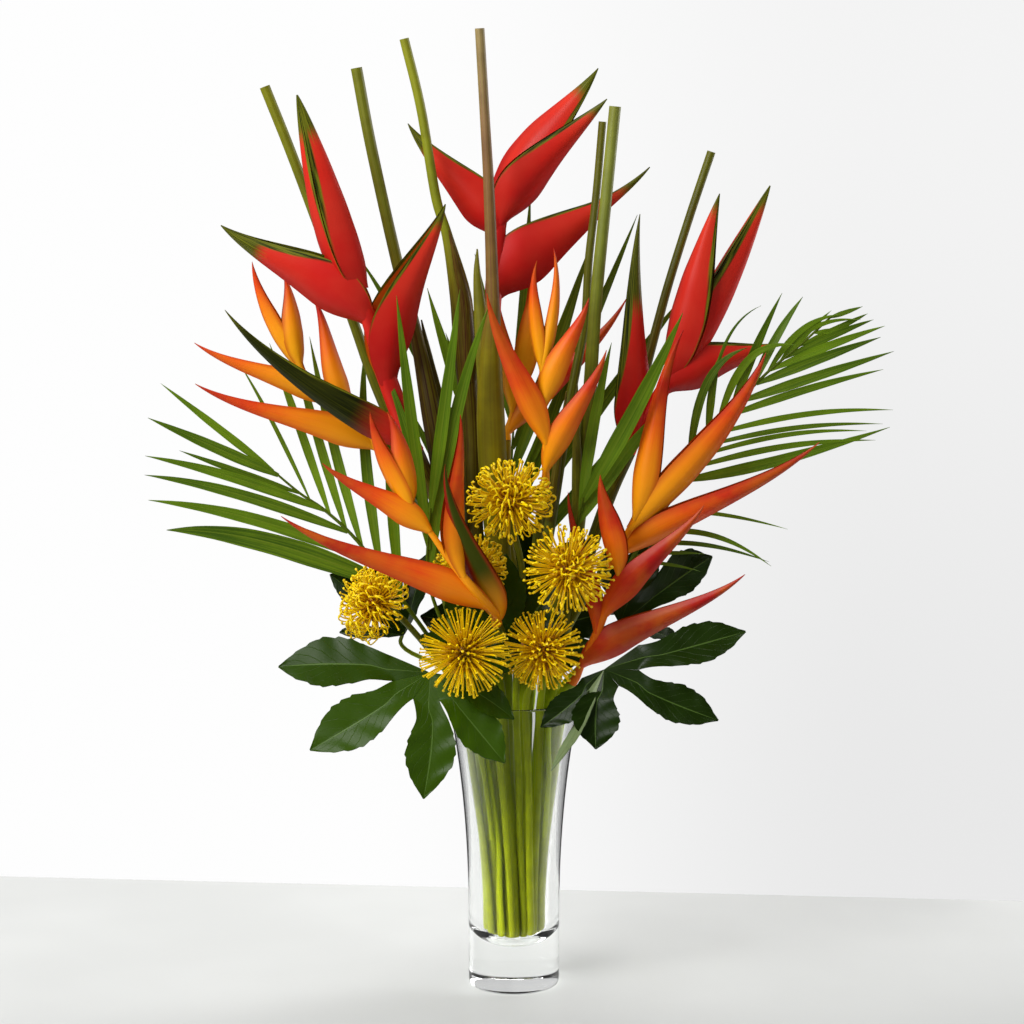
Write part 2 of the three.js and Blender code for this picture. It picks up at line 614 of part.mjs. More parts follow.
// The bloom carries on in the direction its stalk ends in, a hair above it.
function bloom({ kind, axis, bracts }, stalkEnd) {
  const curve = curveThrough(axis);
  const foot = vector(axis[0]);
  const way = foot.clone().sub(stalkEnd).normalize();
  const start = foot.clone().addScaledVector(way, PIECE_GAP);
  const second = foot.clone().addScaledVector(way, 9);
  const points = [[...start.toArray(), axis[0][3]], [...second.toArray(), axis[0][3]], ...axis.slice(1)];
  return joined([stalk(points, 6, 1), ...bracts.map((spec) => bract(curve, kind, spec))]);
}

function plant(lower, { leafStalk, flowerStalk, sheath }) {
  if (!leafStalk) return stalk([...lower, ...flowerStalk], 7, 1);
  const parts = [stalk([...lower, ...leafStalk], 8, 1), stalk(flowerStalk, 6, 1)];
  if (sheath) parts.push(stalk(sheath, 6, 1));
  return joined(parts);
}

// ---------------------------------------------------------------- pincushions

function headFrame(faces) {
  const axis = vector(faces).normalize();
  const across = new THREE.Vector3(1, 0, 0).cross(axis).normalize();
  return { axis, across, other: axis.clone().cross(across) };
}

// Every facet of a small round core but those at the back draws out into a style, which bends and hooks in
// at its end towards the way the head faces.
function pincushionHead({ centre, faces, reach }) {
  const { axis, across, other } = headFrame(faces);
  const middle = vector(centre);
  const core = new THREE.SphereGeometry(HEAD.core, HEAD.around, HEAD.rows).toNonIndexed();
  const position = core.getAttribute('position');
  const corner = (i) => {
    const p = new THREE.Vector3().fromBufferAttribute(position, i);
    return middle.clone()
      .addScaledVector(across, p.z).addScaledVector(other, p.x).addScaledVector(axis, p.y);
  };
  const skin = new Skin();
  for (let i = 0; i < position.count; i += 3) {
    const facet = [corner(i), corner(i + 1), corner(i + 2)];
    const heart = facet[0].clone().add(facet[1]).add(facet[2]).divideScalar(3);
    const way = heart.clone().sub(middle).normalize();
    if (way.dot(axis) < -0.75) {
      skin.triangle(...facet);
      continue;
    }
    const bend = middle.clone().addScaledVector(way, 0.74 * reach);
    const slim = facet.map((p) => {
      const spoke = p.clone().sub(heart);
      return bend.clone().addScaledVector(spoke, HEAD.styleRadius / spoke.length());
    });
    const lean = Math.sqrt(1 - way.dot(axis) ** 2);
    const hooked = way.clone().addScaledVector(axis, HEAD.hook * lean).normalize();
    const end = middle.clone().addScaledVector(hooked, reach);
    for (let k = 0; k < 3; k += 1) {
      const next = (k + 1) % 3;
      skin.quad(facet[k], facet[next], slim[next], slim[k]);
      skin.triangle(slim[k], slim[next], end);
    }
  }
  return skin.solid();
}

// The stem ends just under the core, behind the head.
function pincushionStem(lower, { centre, faces, route }) {
  const { axis } = headFrame(faces);
  const end = vector(centre).addScaledVector(axis, -(HEAD.core + PIECE_GAP));
  const before = end.clone().addScaledVector(axis, -12);
  const bends = [...route, before.toArray(), end.toArray()].map((p) => [...p, 3.2]);
  return stalk([...lower, ...bends], 6, 1, [1, 0, 0]);
}

// ---------------------------------------------------------------- palm fronds

// A leaflet is a narrow folded blade: three corners round each section, left edge, keel and right edge.
function leaflet(root, tip, width, arch) {
  const chord = tip.clone().sub(root);
  const middle = root.clone().addScaledVector(chord, 0.5);
  middle.z += arch * chord.length();
  const curve = new THREE.QuadraticBezierCurve3(root, middle, tip);
  const rings = [[0.28, 1], [0.7, 0.72]].map(([u, share]) => {
    const tangent = curve.getTangent(u);
    const across = new THREE.Vector3(0, -1, 0).cross(tangent).normalize();
    const normal = tangent.clone().cross(across).normalize();
    const centre = curve.getPoint(u);
    return [
      centre.clone().addScaledVector(across, -share * width),
      centre.clone().addScaledVector(normal, -1 - 0.25 * share * width),
      centre.clone().addScaledVector(across, share * width),
    ];
  });
  return loft([[root, root, root], ...rings, [tip, tip, tip]]);
}

function frond(lower, { rachis, width, sides }) {
  const thinning = rachis.map((p, i) => [...p, mix(2.6, 1.1, (i + 1) / rachis.length)]);
  const parts = [stalk([...lower, ...thinning], 5, 1)];
  for (const { leaflets, from, to = 0.97, arch, tips } of sides) {
    const reach = curveThrough(tips);
    for (let i = 0; i < leaflets; i += 1) {
      const share = leaflets > 1 ? i / (leaflets - 1) : 0;
      parts.push(leaflet(alongLine(rachis, mix(from, to, share)), reach.getPoint(share), width, arch));
    }
  }
  return joined(parts);
}

// ---------------------------------------------------------------- palmate leaves

// Along a lobe: how far out, as a share of its length, and how near it comes to its full width there.
const LOBE_ROWS = [[0.42, 0.68], [0.6, 1], [0.76, 0.95], [0.89, 0.56], [1, 0]];
const NOTCH = 0.27; // how far out the notch between two lobes lies
const FOLD = 0.25; // how far a lobe's edges rise above its middle rib

// Both faces of the blade share one layout of triangles and lie a fixed distance apart.
function leafBlade({ hub, faces, tips }) {
  const middle = vector(hub);
  const up = vector(faces).normalize();
  const arms = tips.map((tip) => vector(tip).sub(middle));
  const notchAt = (i) => {
    const before = arms[Math.max(0, i - 1)];
    const after = arms[Math.min(arms.length - 1, i)];
    const notch = before.clone().add(after).multiplyScalar(0.5 * NOTCH);
    if (i === 0 || i === arms.length) {
      const turn = i === 0 ? -1 : 1;
      notch.addScaledVector(up.clone().cross(before).normalize(), turn * 0.1 * before.length());
    }
    return notch;
  };
  const layer = (lift) => {
    const raised = (arm) => middle.clone().add(arm).addScaledVector(up, lift);
    const lobes = arms.map((arm, i) => {
      const across = up.clone().cross(arm).normalize();
      const rows = [[notchAt(i), arm.clone().multiplyScalar(NOTCH * 1.1), notchAt(i + 1)].map(raised)];
      for (const [share, half] of LOBE_ROWS) {
        const sag = 0.12 * arm.length() * share * (1 - share);
        rows.push([-1, 0, 1].map((hand) => {
          const edge = hand * half * tips[i][3] * arm.length();
          const p = arm.clone().multiplyScalar(share).addScaledVector(across, edge);
          return raised(p.addScaledVector(up, FOLD * Math.abs(edge) + sag));
        }));
      }
      return rows;
    });
    return { centre: raised(new THREE.Vector3()), lobes };
  };
  const skin = new Skin();
  const cover = ({ centre, lobes }, face) => {
    for (const rows of lobes) {
      face(centre, rows[0][0], rows[0][1]);
      face(centre, rows[0][1], rows[0][2]);
      for (let r = 0; r + 1 < rows.length; r += 1) {
        for (const i of [0, 1]) {
          face(rows[r][i], rows[r + 1][i], rows[r + 1][i + 1]);
          face(rows[r][i], rows[r + 1][i + 1], rows[r][i + 1]);
        }
      }
    }
  };
  // The edge runs from the hub out and back round every lobe in turn.
  const rim = ({ centre, lobes }) => [centre, ...lobes.flatMap((rows) => [
    ...rows.map((row) => row[0]), ...rows.slice(0, -1).reverse().map((row) => row[2]),
  ])];
  const [top, under] = [layer(BLADE_THICKNESS / 2), layer(-BLADE_THICKNESS / 2)];
  cover(top, (a, b, c) => skin.triangle(a, b, c));
  cover(under, (a, b, c) => skin.triangle(a, c, b));
  const [upper, lower] = [rim(top), rim(under)];
  upper.forEach((p, i) => {
    const next = (i + 1) % upper.length;
    skin.quad(p, lower[i], lower[next], upper[next]);
  });
  return skin.solid();
}

function leaf(lower, spec) {
  const up = vector(spec.faces).normalize();
  const spread = spec.tips.reduce((sum, tip) => sum.add(vector(tip)), new THREE.Vector3());
  const end = vector(spec.hub).lerp(spread.divideScalar(spec.tips.length), 0.05);
  const before = end.clone().addScaledVector(up, -16);
  before.z -= 6;
  const petiole = stalk([...lower, [...before.toArray(), 2.2], [...end.toArray(), 1.8]], 6, 1);
  return joined([petiole, leafBlade(spec)]);
}

// ---------------------------------------------------------------- the scene

function solidFrom(geometry) {
  const skin = new Skin();
  const source = geometry.index ? geometry.toNonIndexed() : geometry;
  const position = source.getAttribute('position');
  const at = (i) => new THREE.Vector3().fromBufferAttribute(position, i);
  for (let i = 0; i < position.count; i += 3) skin.triangle(at(i), at(i + 1), at(i + 2));
  return skin.solid();
}

function geometryOf(solid) {
  const mesh = solid.getMesh();
  const corners = new Float32Array(mesh.numVert * 3);
  for (let i = 0; i < mesh.numVert; i += 1) {
    corners.set(mesh.vertProperties.subarray(i * mesh.numProp, i * mesh.numProp + 3), i * 3);
  }
  const geometry = new THREE.BufferGeometry();
  geometry.setAttribute('position', new THREE.BufferAttribute(corners, 3));
  geometry.setIndex(new THREE.BufferAttribute(new Uint32Array(mesh.triVerts), 1));
  geometry.computeVertexNormals();
  return geometry;
}

const finish = (color, roughness) => new THREE.MeshStandardMaterial({ color, roughness });
const FINISHES = {
  glass: finish(0xe8f0f0, 0.03),
  stalk: finish(0x7d8f35, 0.5),
  red: finish(0xc8252a, 0.45),
  orange: finish(0xf0791e, 0.45),
  yellow: finish(0xe8b80f, 0.5),
  palm: finish(0x3f6b22, 0.5),
  leaf: finish(0x1f3d14, 0.3),
};

const arrangement = new THREE.Group();

function add(name, geometry, material) {
  const mesh = new THREE.Mesh(geometry, material);
  mesh.name = name;
  arrangement.add(mesh);
}

const stems = settleStems();
add('glass_vase', vaseGeometry(), FINISHES.glass);
for (const [name, spec] of Object.entries(PLANTS)) {
  add(`${name}_stalk`, geometryOf(plant(stems[name], spec)), FINISHES.stalk);
}
for (const [name, spec] of Object.entries(BLOOMS)) {
  const material = spec.kind === RED ? FINISHES.red : FINISHES.orange;
  const { flowerStalk } = PLANTS[name];
  const below = flowerStalk.at(-2) ?? stems[name].at(-1);
  add(`${name}_bloom`, geometryOf(bloom(spec, vector(below))), material);
}
for (const [name, spec] of Object.entries(PINCUSHIONS)) {
  add(`${name}_head`, geometryOf(pincushionHead(spec)), FINISHES.yellow);
  add(`${name}_stem`, geometryOf(pincushionStem(stems[name], spec)), FINISHES.stalk);
}
for (const [name, spec] of Object.entries(FRONDS)) {
  add(name, geometryOf(frond(stems[name], spec)), FINISHES.palm);
}
for (const [name, spec] of Object.entries(LEAVES)) {
  add(name, geometryOf(leaf(stems[name], spec)), FINISHES.leaf);
}

export default arrangement;
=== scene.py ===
"""A tall tropical arrangement in a clear glass vase: red lobster-claw heliconias, orange parakeet heliconias,
yellow pincushion flowers, palm fronds and palmate glossy leaves, with the trimmed leaf stalks left standing.
Driving sizes are in millimetres, +Z up, -Y towards the viewer, from the middle of the vase's foot."""
import math

import bpy
import numpy as np
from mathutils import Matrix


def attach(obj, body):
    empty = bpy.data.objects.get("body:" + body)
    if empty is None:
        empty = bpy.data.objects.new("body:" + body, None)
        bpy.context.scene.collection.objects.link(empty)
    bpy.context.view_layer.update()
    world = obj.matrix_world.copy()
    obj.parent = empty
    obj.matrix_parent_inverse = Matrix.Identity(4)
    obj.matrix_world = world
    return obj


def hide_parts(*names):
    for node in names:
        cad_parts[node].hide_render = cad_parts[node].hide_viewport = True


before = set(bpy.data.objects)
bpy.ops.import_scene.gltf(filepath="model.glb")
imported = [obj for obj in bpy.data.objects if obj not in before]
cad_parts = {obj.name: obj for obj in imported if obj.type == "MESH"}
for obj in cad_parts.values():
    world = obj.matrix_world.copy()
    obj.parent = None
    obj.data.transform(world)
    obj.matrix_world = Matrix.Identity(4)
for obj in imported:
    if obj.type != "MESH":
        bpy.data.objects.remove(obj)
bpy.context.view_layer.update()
MM = 0.001

# ---------------------------------------------------------------- driving dimensions

VASE = {"foot": 43.2, "base": 46.5, "flare_start": 90, "rim": 67, "height": 300, "rim_wall": 5,
        "floor": 43, "bore": 33, "bowl": 22}
BOWL_TOP = 66
REST_HEIGHTS = (BOWL_TOP, 105, 160, 225, 303)  # where the stems' places in the vase are settled
LEAF_STALK_END = 160  # the leaves' stalks reach only this far down
CLEARANCE = 0.8  # between stems side by side
PIECE_GAP = 0.4  # between a stalk and the flower on it
TWIST = math.radians(28)  # how far the stems turn round each other inside the vase
DRAWN_IN = 0.96  # a stem's end in the bowl is this share as far from the middle as at the bowl's top
SETTLING_ROUNDS = 600  # in which stems that are too near push each other apart
GOLDEN_ANGLE = 2.39996  # the turn from one style to the next that fills a head evenly

# Each stem: where it is pushed into the mouth of the vase, as x and y, and its radius there.
STEMS = {
    "red_left": (-33, 4, 8.6), "red_middle": (-10, 6, 8.8), "red_right": (36, 20, 8.4),
    "orange_left": (-42, 22, 7.6), "orange_front": (-16, -14, 8.4), "orange_middle": (12, -8, 8.2),
    "orange_right": (38, -8, 8), "orange_behind": (4, 28, 5), "orange_low": (47, -28, 5),
    "pincushion_1": (2, -32, 3.5), "pincushion_2": (27, -36, 3.5), "pincushion_3": (-54, -14, 3.5),
    "pincushion_4": (-22, -46, 3.5), "pincushion_5": (12, -50, 3.5), "pincushion_6": (-30, -28, 3.5),
    "palm_left": (-57, 6, 3.2), "palm_right": (56, 2, 3.2), "palm_front_left": (-36, -36, 2.6),
    "palm_front_right": (26, -20, 2.6), "palm_back": (-14, 46, 3), "leaf_left": (-44, -42, 2.4),
    "leaf_right": (40, -45, 2.4), "leaf_back_left": (-50, 36, 2.4), "leaf_back_right": (50, 34, 2.4),
    "leaf_back": (20, 52, 2.4),
}

# The heliconia plants above the vase. Points are (x, y, z, radius).
PLANTS = {
    "red_left": {
        "leaf_stalk": [(-48, 0, 400, 8), (-66, -9, 500, 10.5), (-80, -6, 580, 11), (-98, 0, 671, 6.5),
                       (-116, 0, 740, 6), (-140, 0, 850, 5.8), (-154, 0, 927, 5.8)],
        "flower_stalk": [(-58, -5, 460, 7), (-82, -18, 516, 8), (-98, -26, 552, 9)],
        "sheath": [(-66, -8, 500, 8), (-72, 2, 580, 6.5), (-84, 8, 640, 4), (-92, 10, 680, 0.8)],
    },
    "red_middle": {
        "leaf_stalk": [(-12, 4, 400, 11), (-19, -6, 500, 14), (-23, -14, 580, 14.5), (-23, -28, 650, 11),
                       (-21, -40, 704, 7), (-24, -43, 804, 5.6), (-28, -44, 877, 5), (-33, -44, 964, 4.8)],
        "flower_stalk": [(-22, -10, 600, 8), (-22, 12, 652, 8), (-21, 17, 686, 8)],
        "sheath": [(-23, -14, 590, 12), (-31, -20, 670, 8), (-36, -22, 725, 4), (-36, -23, 752, 0.8)],
    },
    "red_right": {
        "leaf_stalk": [(62, 32, 400, 7), (97, 42, 500, 7), (120, 46, 580, 6), (140, 46, 655, 5),
                       (155, 46, 712, 4.6), (176, 46, 781, 4.4), (197, 46, 845, 4.4)],
        "flower_stalk": [(76, 36, 440, 6), (98, 28, 505, 7), (115, 22, 546, 7.5)],
        "sheath": [(92, 40, 490, 6), (108, 52, 560, 4), (118, 56, 610, 0.8)],
    },
    "orange_left": {
        "leaf_stalk": [(-64, 34, 380, 6.5), (-92, 36, 480, 6.5), (-118, 34, 560, 6), (-142, 31, 621, 5.6),
                       (-165, 28, 689, 5.4), (-215, 25, 829, 5.4), (-246, 25, 909, 5.4)],
        "flower_stalk": [(-88, 35, 466, 5), (-112, 22, 512, 5), (-134, 8, 548, 4.8)],
        "sheath": [(-98, 36, 500, 6), (-116, 46, 560, 3.5), (-126, 50, 600, 0.8)],
    },
    "orange_front": {
        "leaf_stalk": [(-32, -10, 400, 8), (-40, 4, 480, 9), (-43, 12, 572, 10), (-50, 4, 661, 11),
                       (-53, 0, 705, 11), (-66, -4, 765, 5.4), (-77, -5, 803, 5), (-91, -5, 888, 4.8),
                       (-107, -5, 955, 4.8)],
        "flower_stalk": [(-22, -14, 345, 5.5), (-14, -50, 372, 5.5), (-17, -76, 390, 5.5)],
        "sheath": [(-46, 6, 620, 9), (-48, -4, 690, 7), (-56, -10, 735, 4), (-64, -12, 770, 0.8)],
    },
    "orange_middle": {
        "leaf_stalk": [(24, -2, 400, 6.5), (40, 4, 500, 6), (56, 8, 600, 5), (70, 10, 675, 4.4),
                       (74, 10, 739, 4.2), (81, 10, 803, 4), (87, 10, 875, 4)],
        "flower_stalk": [(22, -3, 390, 5), (22, -18, 450, 5), (30, -42, 520, 4.8)],
        "sheath": [(36, 2, 480, 6), (46, -4, 560, 3.5), (52, -6, 610, 0.8)],
    },
    "orange_right": {
        "leaf_stalk": [(54, -14, 400, 7), (66, -18, 502, 7.5), (74, -22, 601, 7), (80, -25, 699, 6.4),
                       (90, -26, 805, 6), (98, -26, 890, 6)],
        "flower_stalk": [(46, -11, 360, 5), (70, -16, 404, 5), (93, -20, 436, 4.8)],
        "sheath": [(64, -18, 480, 7), (62, -28, 560, 4.5), (62, -32, 620, 0.8)],
    },
    "orange_behind": {"flower_stalk": [(2, 44, 400, 4.4), (-8, 48, 480, 4.2), (-7, 42, 556, 4.2)]},
    "orange_low": {"flower_stalk": [(58, -38, 322, 4.8)]},
}

# The colour of each plant's stalk by height: bright green in the vase, then as it turns above it.
IN_VASE = [(50, "#B8C20A"), (180, "#BACA04"), (300, "#B0C604"), (350, "#606E02")]
STALK_TONES = {
    "red_left": [(420, "#3A3404"), (520, "#3A100A"), (600, "#340A0A"), (672, "#4A2C0C"), (720, "#5A5E0C"),
                 (843, "#666A16"), (848, "#34200C"), (853, "#666A16"), (927, "#6C701C")],
    "red_middle": [(420, "#6A6404"), (560, "#7A6E0A"), (650, "#84740E"), (705, "#744030"), (800, "#7C4A36"),
                   (900, "#8A6A4C"), (964, "#98805C")],
    "red_right": [(420, "#3A4006"), (600, "#2E3404"), (712, "#3E4208"), (845, "#5C5E0C")],
    "orange_left": [(420, "#465604"), (700, "#5A6408"), (909, "#74740E")],
    "orange_front": [(420, "#403804"), (560, "#3A1408"), (660, "#4A280A"), (715, "#6A5E0C"), (770, "#7C8614"),
                     (955, "#8A8C20")],
    "orange_middle": [(420, "#48540A"), (640, "#464E08"), (875, "#5C5A14")],
    "orange_right": [(420, "#4C5E0A"), (620, "#5A680E"), (890, "#848A3C")],
    "orange_behind": [(556, "#8A6A04")],
    "orange_low": [(322, "#8A3A04")],
}
PINCUSHION_TONES = [(420, "#5A6404")]
RACHIS_TONES = [(420, "#465A06"), (700, "#56660A")]
PETIOLE_TONES = [(420, "#465A06")]
SHEATH_TONES = {"red_left": "#300C0A", "red_middle": "#74701C", "red_right": "#3C2408",
                "orange_left": "#4C4808", "orange_front": "#4C1C0C", "orange_middle": "#4A3A08",
                "orange_right": "#54560E"}

# The side view of a bract: its depth along its length, each as a share of the whole.
BROAD = [(0, 0.5), (0.16, 0.82), (0.34, 1), (0.54, 0.86), (0.76, 0.46), (1, 0.02)]
CLASPING = [(0, 0.48), (0.12, 0.76), (0.22, 0.97), (0.3, 1), (0.42, 0.86), (0.58, 0.62), (0.8, 0.3),
            (1, 0.02)]
FLAME = [(0, 0.5), (0.14, 0.86), (0.28, 1), (0.46, 0.92), (0.66, 0.64), (0.85, 0.3), (1, 0.02)]
SPURRED = [(0, 0.48), (0.12, 0.76), (0.22, 0.97), (0.3, 1), (0.42, 0.8), (0.56, 0.54), (0.7, 0.26),
           (0.8, 0.16), (1, 0.02)]
SLENDER = [(0, 0.42), (0.1, 0.72), (0.22, 1), (0.36, 0.84), (0.52, 0.6), (0.76, 0.3), (1, 0.02)]
NARROW = [(0, 0.42), (0.12, 0.7), (0.26, 1), (0.42, 0.86), (0.62, 0.56), (0.82, 0.27), (1, 0.02)]

# Blooms: the axis from its stalk upwards, and its boat-shaped bracts from the lowest to the top one. `open`
# is the side a bract's fold opens to where it isn't simply upwards. `turned` and `edge` are how much of its
# length and of its side the second colour takes, `olive` how far the body is olive green, and `slim` how thick
# the tube between the bracts is against the axis's own radii.
RED = {"bow": 0.04, "curl": 0.35, "lip": 0.3, "clasp": 1.0, "edge": 0.1, "olive": 0, "ripe": 0,
       "slim": 1, "tube_turned": 0}
ORANGE = {"bow": 0.02, "curl": 0.35, "lip": 0.3, "clasp": 1.3, "edge": 0.12, "olive": 0, "ripe": 0,
          "slim": 0.72, "tube_turned": 0.4}


def claw(at, tip, shape, depth, gape, turned, **more):
    """A bract: its place along the axis, its tip, and its own values in place of its kind's."""
    return {"at": at, "tip": tip, "shape": shape, "depth": depth, "gape": gape, "turned": turned, **more}


BLOOMS = {
    "red_left": (RED, [(-98, -26, 552, 9.5), (-112, -31, 590, 11), (-127, -36, 634, 12), (-139, -40, 678, 12),
        (-152, -42, 712, 12), (-171, -43, 738, 12)], [
        claw(0.12, (-280, -58, 695), NARROW, 33, 9, 0.1, olive=1),
        claw(0.6, (-66, -60, 797), CLASPING, 50, 15, 0.16, open=(-0.6, -0.45, 0.65), bow=-0.02, curl=0.25,
             lip=0.6, edge=0.13),
        claw(0.92, (-284, -45, 776), CLASPING, 53, 13, 0.3, open=(-0.1, -0.3, 1), bow=0.02, clasp=1.1,
             edge=0.2),
        claw(1, (-209, -42, 901), FLAME, 43, 21, 0.22, open=(-0.35, -0.93, 0), bow=0.03, curl=0.1, lip=0.03,
             clasp=0.9),
    ]),
    "red_middle": (RED, [(-21, 17, 686, 8), (-20, 18, 712, 10), (-17, 19, 750, 11), (-13, 20, 785, 10),
        (-6, 20, 812, 9)], [
        claw(0.5, (135, 34, 830), SPURRED, 58, 12, 0.2, bow=0.02, clasp=0.7),
        claw(0.84, (-105, 26, 873), CLASPING, 44, 11, 0.24, clasp=0.7),
        claw(1, (83, 26, 927), BROAD, 50, 12, 0.2, open=(0.5, -0.55, -0.6), bow=0.13, curl=-0.1, lip=0.1,
             clasp=0.8, edge=0.12),
        claw(1, (91, 2, 897), CLASPING, 50, 15, 0.16, open=(-0.5, -0.5, 0.7), bow=-0.04, curl=0.1, lip=0.1,
             clasp=0.8),
    ]),
    "red_right": (RED, [(115, 22, 546, 7.5), (128, 20, 572, 9), (146, 18, 604, 10), (163, 18, 632, 9),
        (174, 17, 656, 8)], [
        claw(0.25, (124, 0, 785), SLENDER, 42, 12, 0.36, open=(-0.95, -0.3, 0), bow=-0.02, curl=-0.15,
             lip=0.1, edge=0.34),
        claw(0.92, (263, 26, 655), CLASPING, 46, 12, 0.1),
        claw(1, (202, -2, 805), BROAD, 46, 17, 0.12, open=(0.75, -0.65, 0), bow=0.02, curl=0.1, lip=0.1,
             edge=0.09),
        claw(1, (254, 24, 812), FLAME, 48, 17, 0.14, open=(-0.45, -0.75, 0.4), bow=0.06, curl=0.1, lip=0.05,
             edge=0.13),
    ]),
    "orange_left": ({**ORANGE, "ripe": -0.14}, [(-134, 8, 548, 4.8), (-146, 5, 566, 5.4), (-166, 5, 590, 6),
        (-193, 5, 614, 6), (-213, 5, 634, 5), (-226, 5, 658, 4.4)], [
        claw(0.34, (-316, -8, 618), SLENDER, 32, 8, 0.55),
        claw(0.56, (-200, 16, 704), NARROW, 24, 8, 0.55),
        claw(0.7, (-317, 0, 658), SLENDER, 27, 8, 0.4),
        claw(0.94, (-259, 5, 738), BROAD, 20, 6, 0.35, open=(0.8, -0.4, 0.3), bow=0.04),
        claw(0.98, (-228, 8, 724), BROAD, 22, 7, 0.3, open=(-0.9, -0.3, 0), bow=0),
    ]),
    "orange_front": (ORANGE, [(-17, -76, 390, 5.5), (-19, -104, 406, 6), (-38, -122, 431, 7),
        (-60, -124, 459, 7), (-80, -122, 487, 6), (-98, -120, 512, 5.5), (-106, -118, 528, 5)], [
        claw(0.14, (-65, -146, 556), NARROW, 32, 9, 0.2, open=(0.85, -0.2, 0.3), bow=-0.07, olive=1),
        claw(0.44, (-222, -130, 504), SLENDER, 33, 9, 0.75),
        claw(0.62, (-51, -128, 601), NARROW, 29, 9, 0.6, open=(-0.6, -0.5, 0.3)),
        claw(0.86, (-183, -122, 554), SLENDER, 27, 8, 0.6),
        claw(0.97, (-137, -120, 603), BROAD, 22, 7, 0.4, open=(0.8, -0.4, 0.3), bow=0.03),
        claw(1, (-121, -112, 602), BROAD, 24, 7, 0.4, open=(-0.9, -0.2, 0), bow=0),
    ]),
    "orange_middle": ({**ORANGE, "ripe": -0.03}, [(30, -42, 520, 4.8), (31, -54, 545, 5), (30, -62, 583, 5.4),
        (27, -65, 618, 5.2), (26, -65, 660, 4.6)], [
        claw(0.42, (89, -78, 658), NARROW, 27, 9, 0.55),
        claw(0.62, (-26, -84, 713), NARROW, 26, 9, 0.7, lip=0.9),
        claw(0.86, (72, -76, 708), NARROW, 26, 8, 0.45),
        claw(1, (22, -66, 743), BROAD, 15, 5, 0.35, open=(1, -0.3, 0), bow=0),
        claw(0.96, (38, -60, 755), BROAD, 13, 5, 0.15, open=(-1, 0, 0), bow=0.04),
    ]),
    "orange_right": ({**ORANGE, "ripe": 0.08}, [(93, -20, 436, 4.8), (102, -28, 452, 5.6),
        (113, -36, 474, 6.4), (126, -43, 499, 6.4), (138, -46, 516, 6)], [
        claw(0.6, (298, -58, 566), NARROW, 31, 9, 0.65),
        claw(0.96, (245, -52, 653), BROAD, 32, 10, 0.3, open=(-0.8, -0.3, 0.6), bow=0.04),
        claw(1, (165, -48, 675), NARROW, 28, 9, 0.4, open=(0.9, -0.3, 0), bow=0.03),
    ]),
    "orange_behind": ({**ORANGE, "ripe": -0.06}, [(-7, 42, 556, 4.2), (-3, 42, 578, 4.6), (4, 42, 606, 4.6),
        (14, 42, 638, 4.4)], [
        claw(0.5, (114, 46, 700), NARROW, 25, 8, 0.8),
        claw(0.75, (-17, 52, 712), NARROW, 22, 8, 0.3),
        claw(1, (14, 42, 725), BROAD, 26, 7, 0.25, open=(-0.9, 0, 0.1), bow=0),
    ]),
    "orange_low": ({**ORANGE, "ripe": 0.4}, [(58, -38, 322, 4.8), (68, -48, 346, 6), (80, -56, 372, 7.5),
        (92, -62, 405, 7.5), (103, -66, 438, 6), (109, -66, 460, 5.4)], [
        claw(0.46, (224, -92, 441), SLENDER, 34, 10, 0.9),
        claw(0.6, (53, -50, 516), NARROW, 20, 7, 0.9),
        claw(0.8, (185, -76, 507), SLENDER, 30, 9, 0.75),
        claw(1, (84, -66, 535), BROAD, 25, 8, 0.4, open=(0.9, -0.3, 0.2)),
    ]),
}

# Pincushion heads: centre, the way each faces, the reach of its styles, how far their ends hook in, how green
# the middle is, and the stem's route.
PINCUSHIONS = {
    "pincushion_1": ((-4, -76, 511), (0.05, -0.8, 0.6), 45, 0.92, 0, [(4, -38, 365), (8, -46, 437)]),
    "pincushion_2": ((52, -100, 447), (0.15, -0.95, 0.25), 46, 0.66, 0, [(34, -38, 365)]),
    "pincushion_3": ((-137, -40, 403), (-0.75, -0.45, 0.5), 42, 0.98, 0, [(-84, -26, 352)]),
    "pincushion_4": ((-48, -119, 369), (0, -1, 0.05), 46, 0.12, 1, [(-34, -68, 334)]),
    "pincushion_5": ((28, -86, 365), (0.15, -0.95, 0.1), 42, 0.35, 0.2, [(20, -56, 332)]),
    "pincushion_6": ((-42, -62, 440), (-0.3, -0.8, 0.5), 39, 0.85, 0, [(-36, -36, 380)]),
}
HEAD = {"core": 13, "styles": 185, "style_radius": 0.78, "knob_radius": 1.55, "curls": 130, "widest": 118}

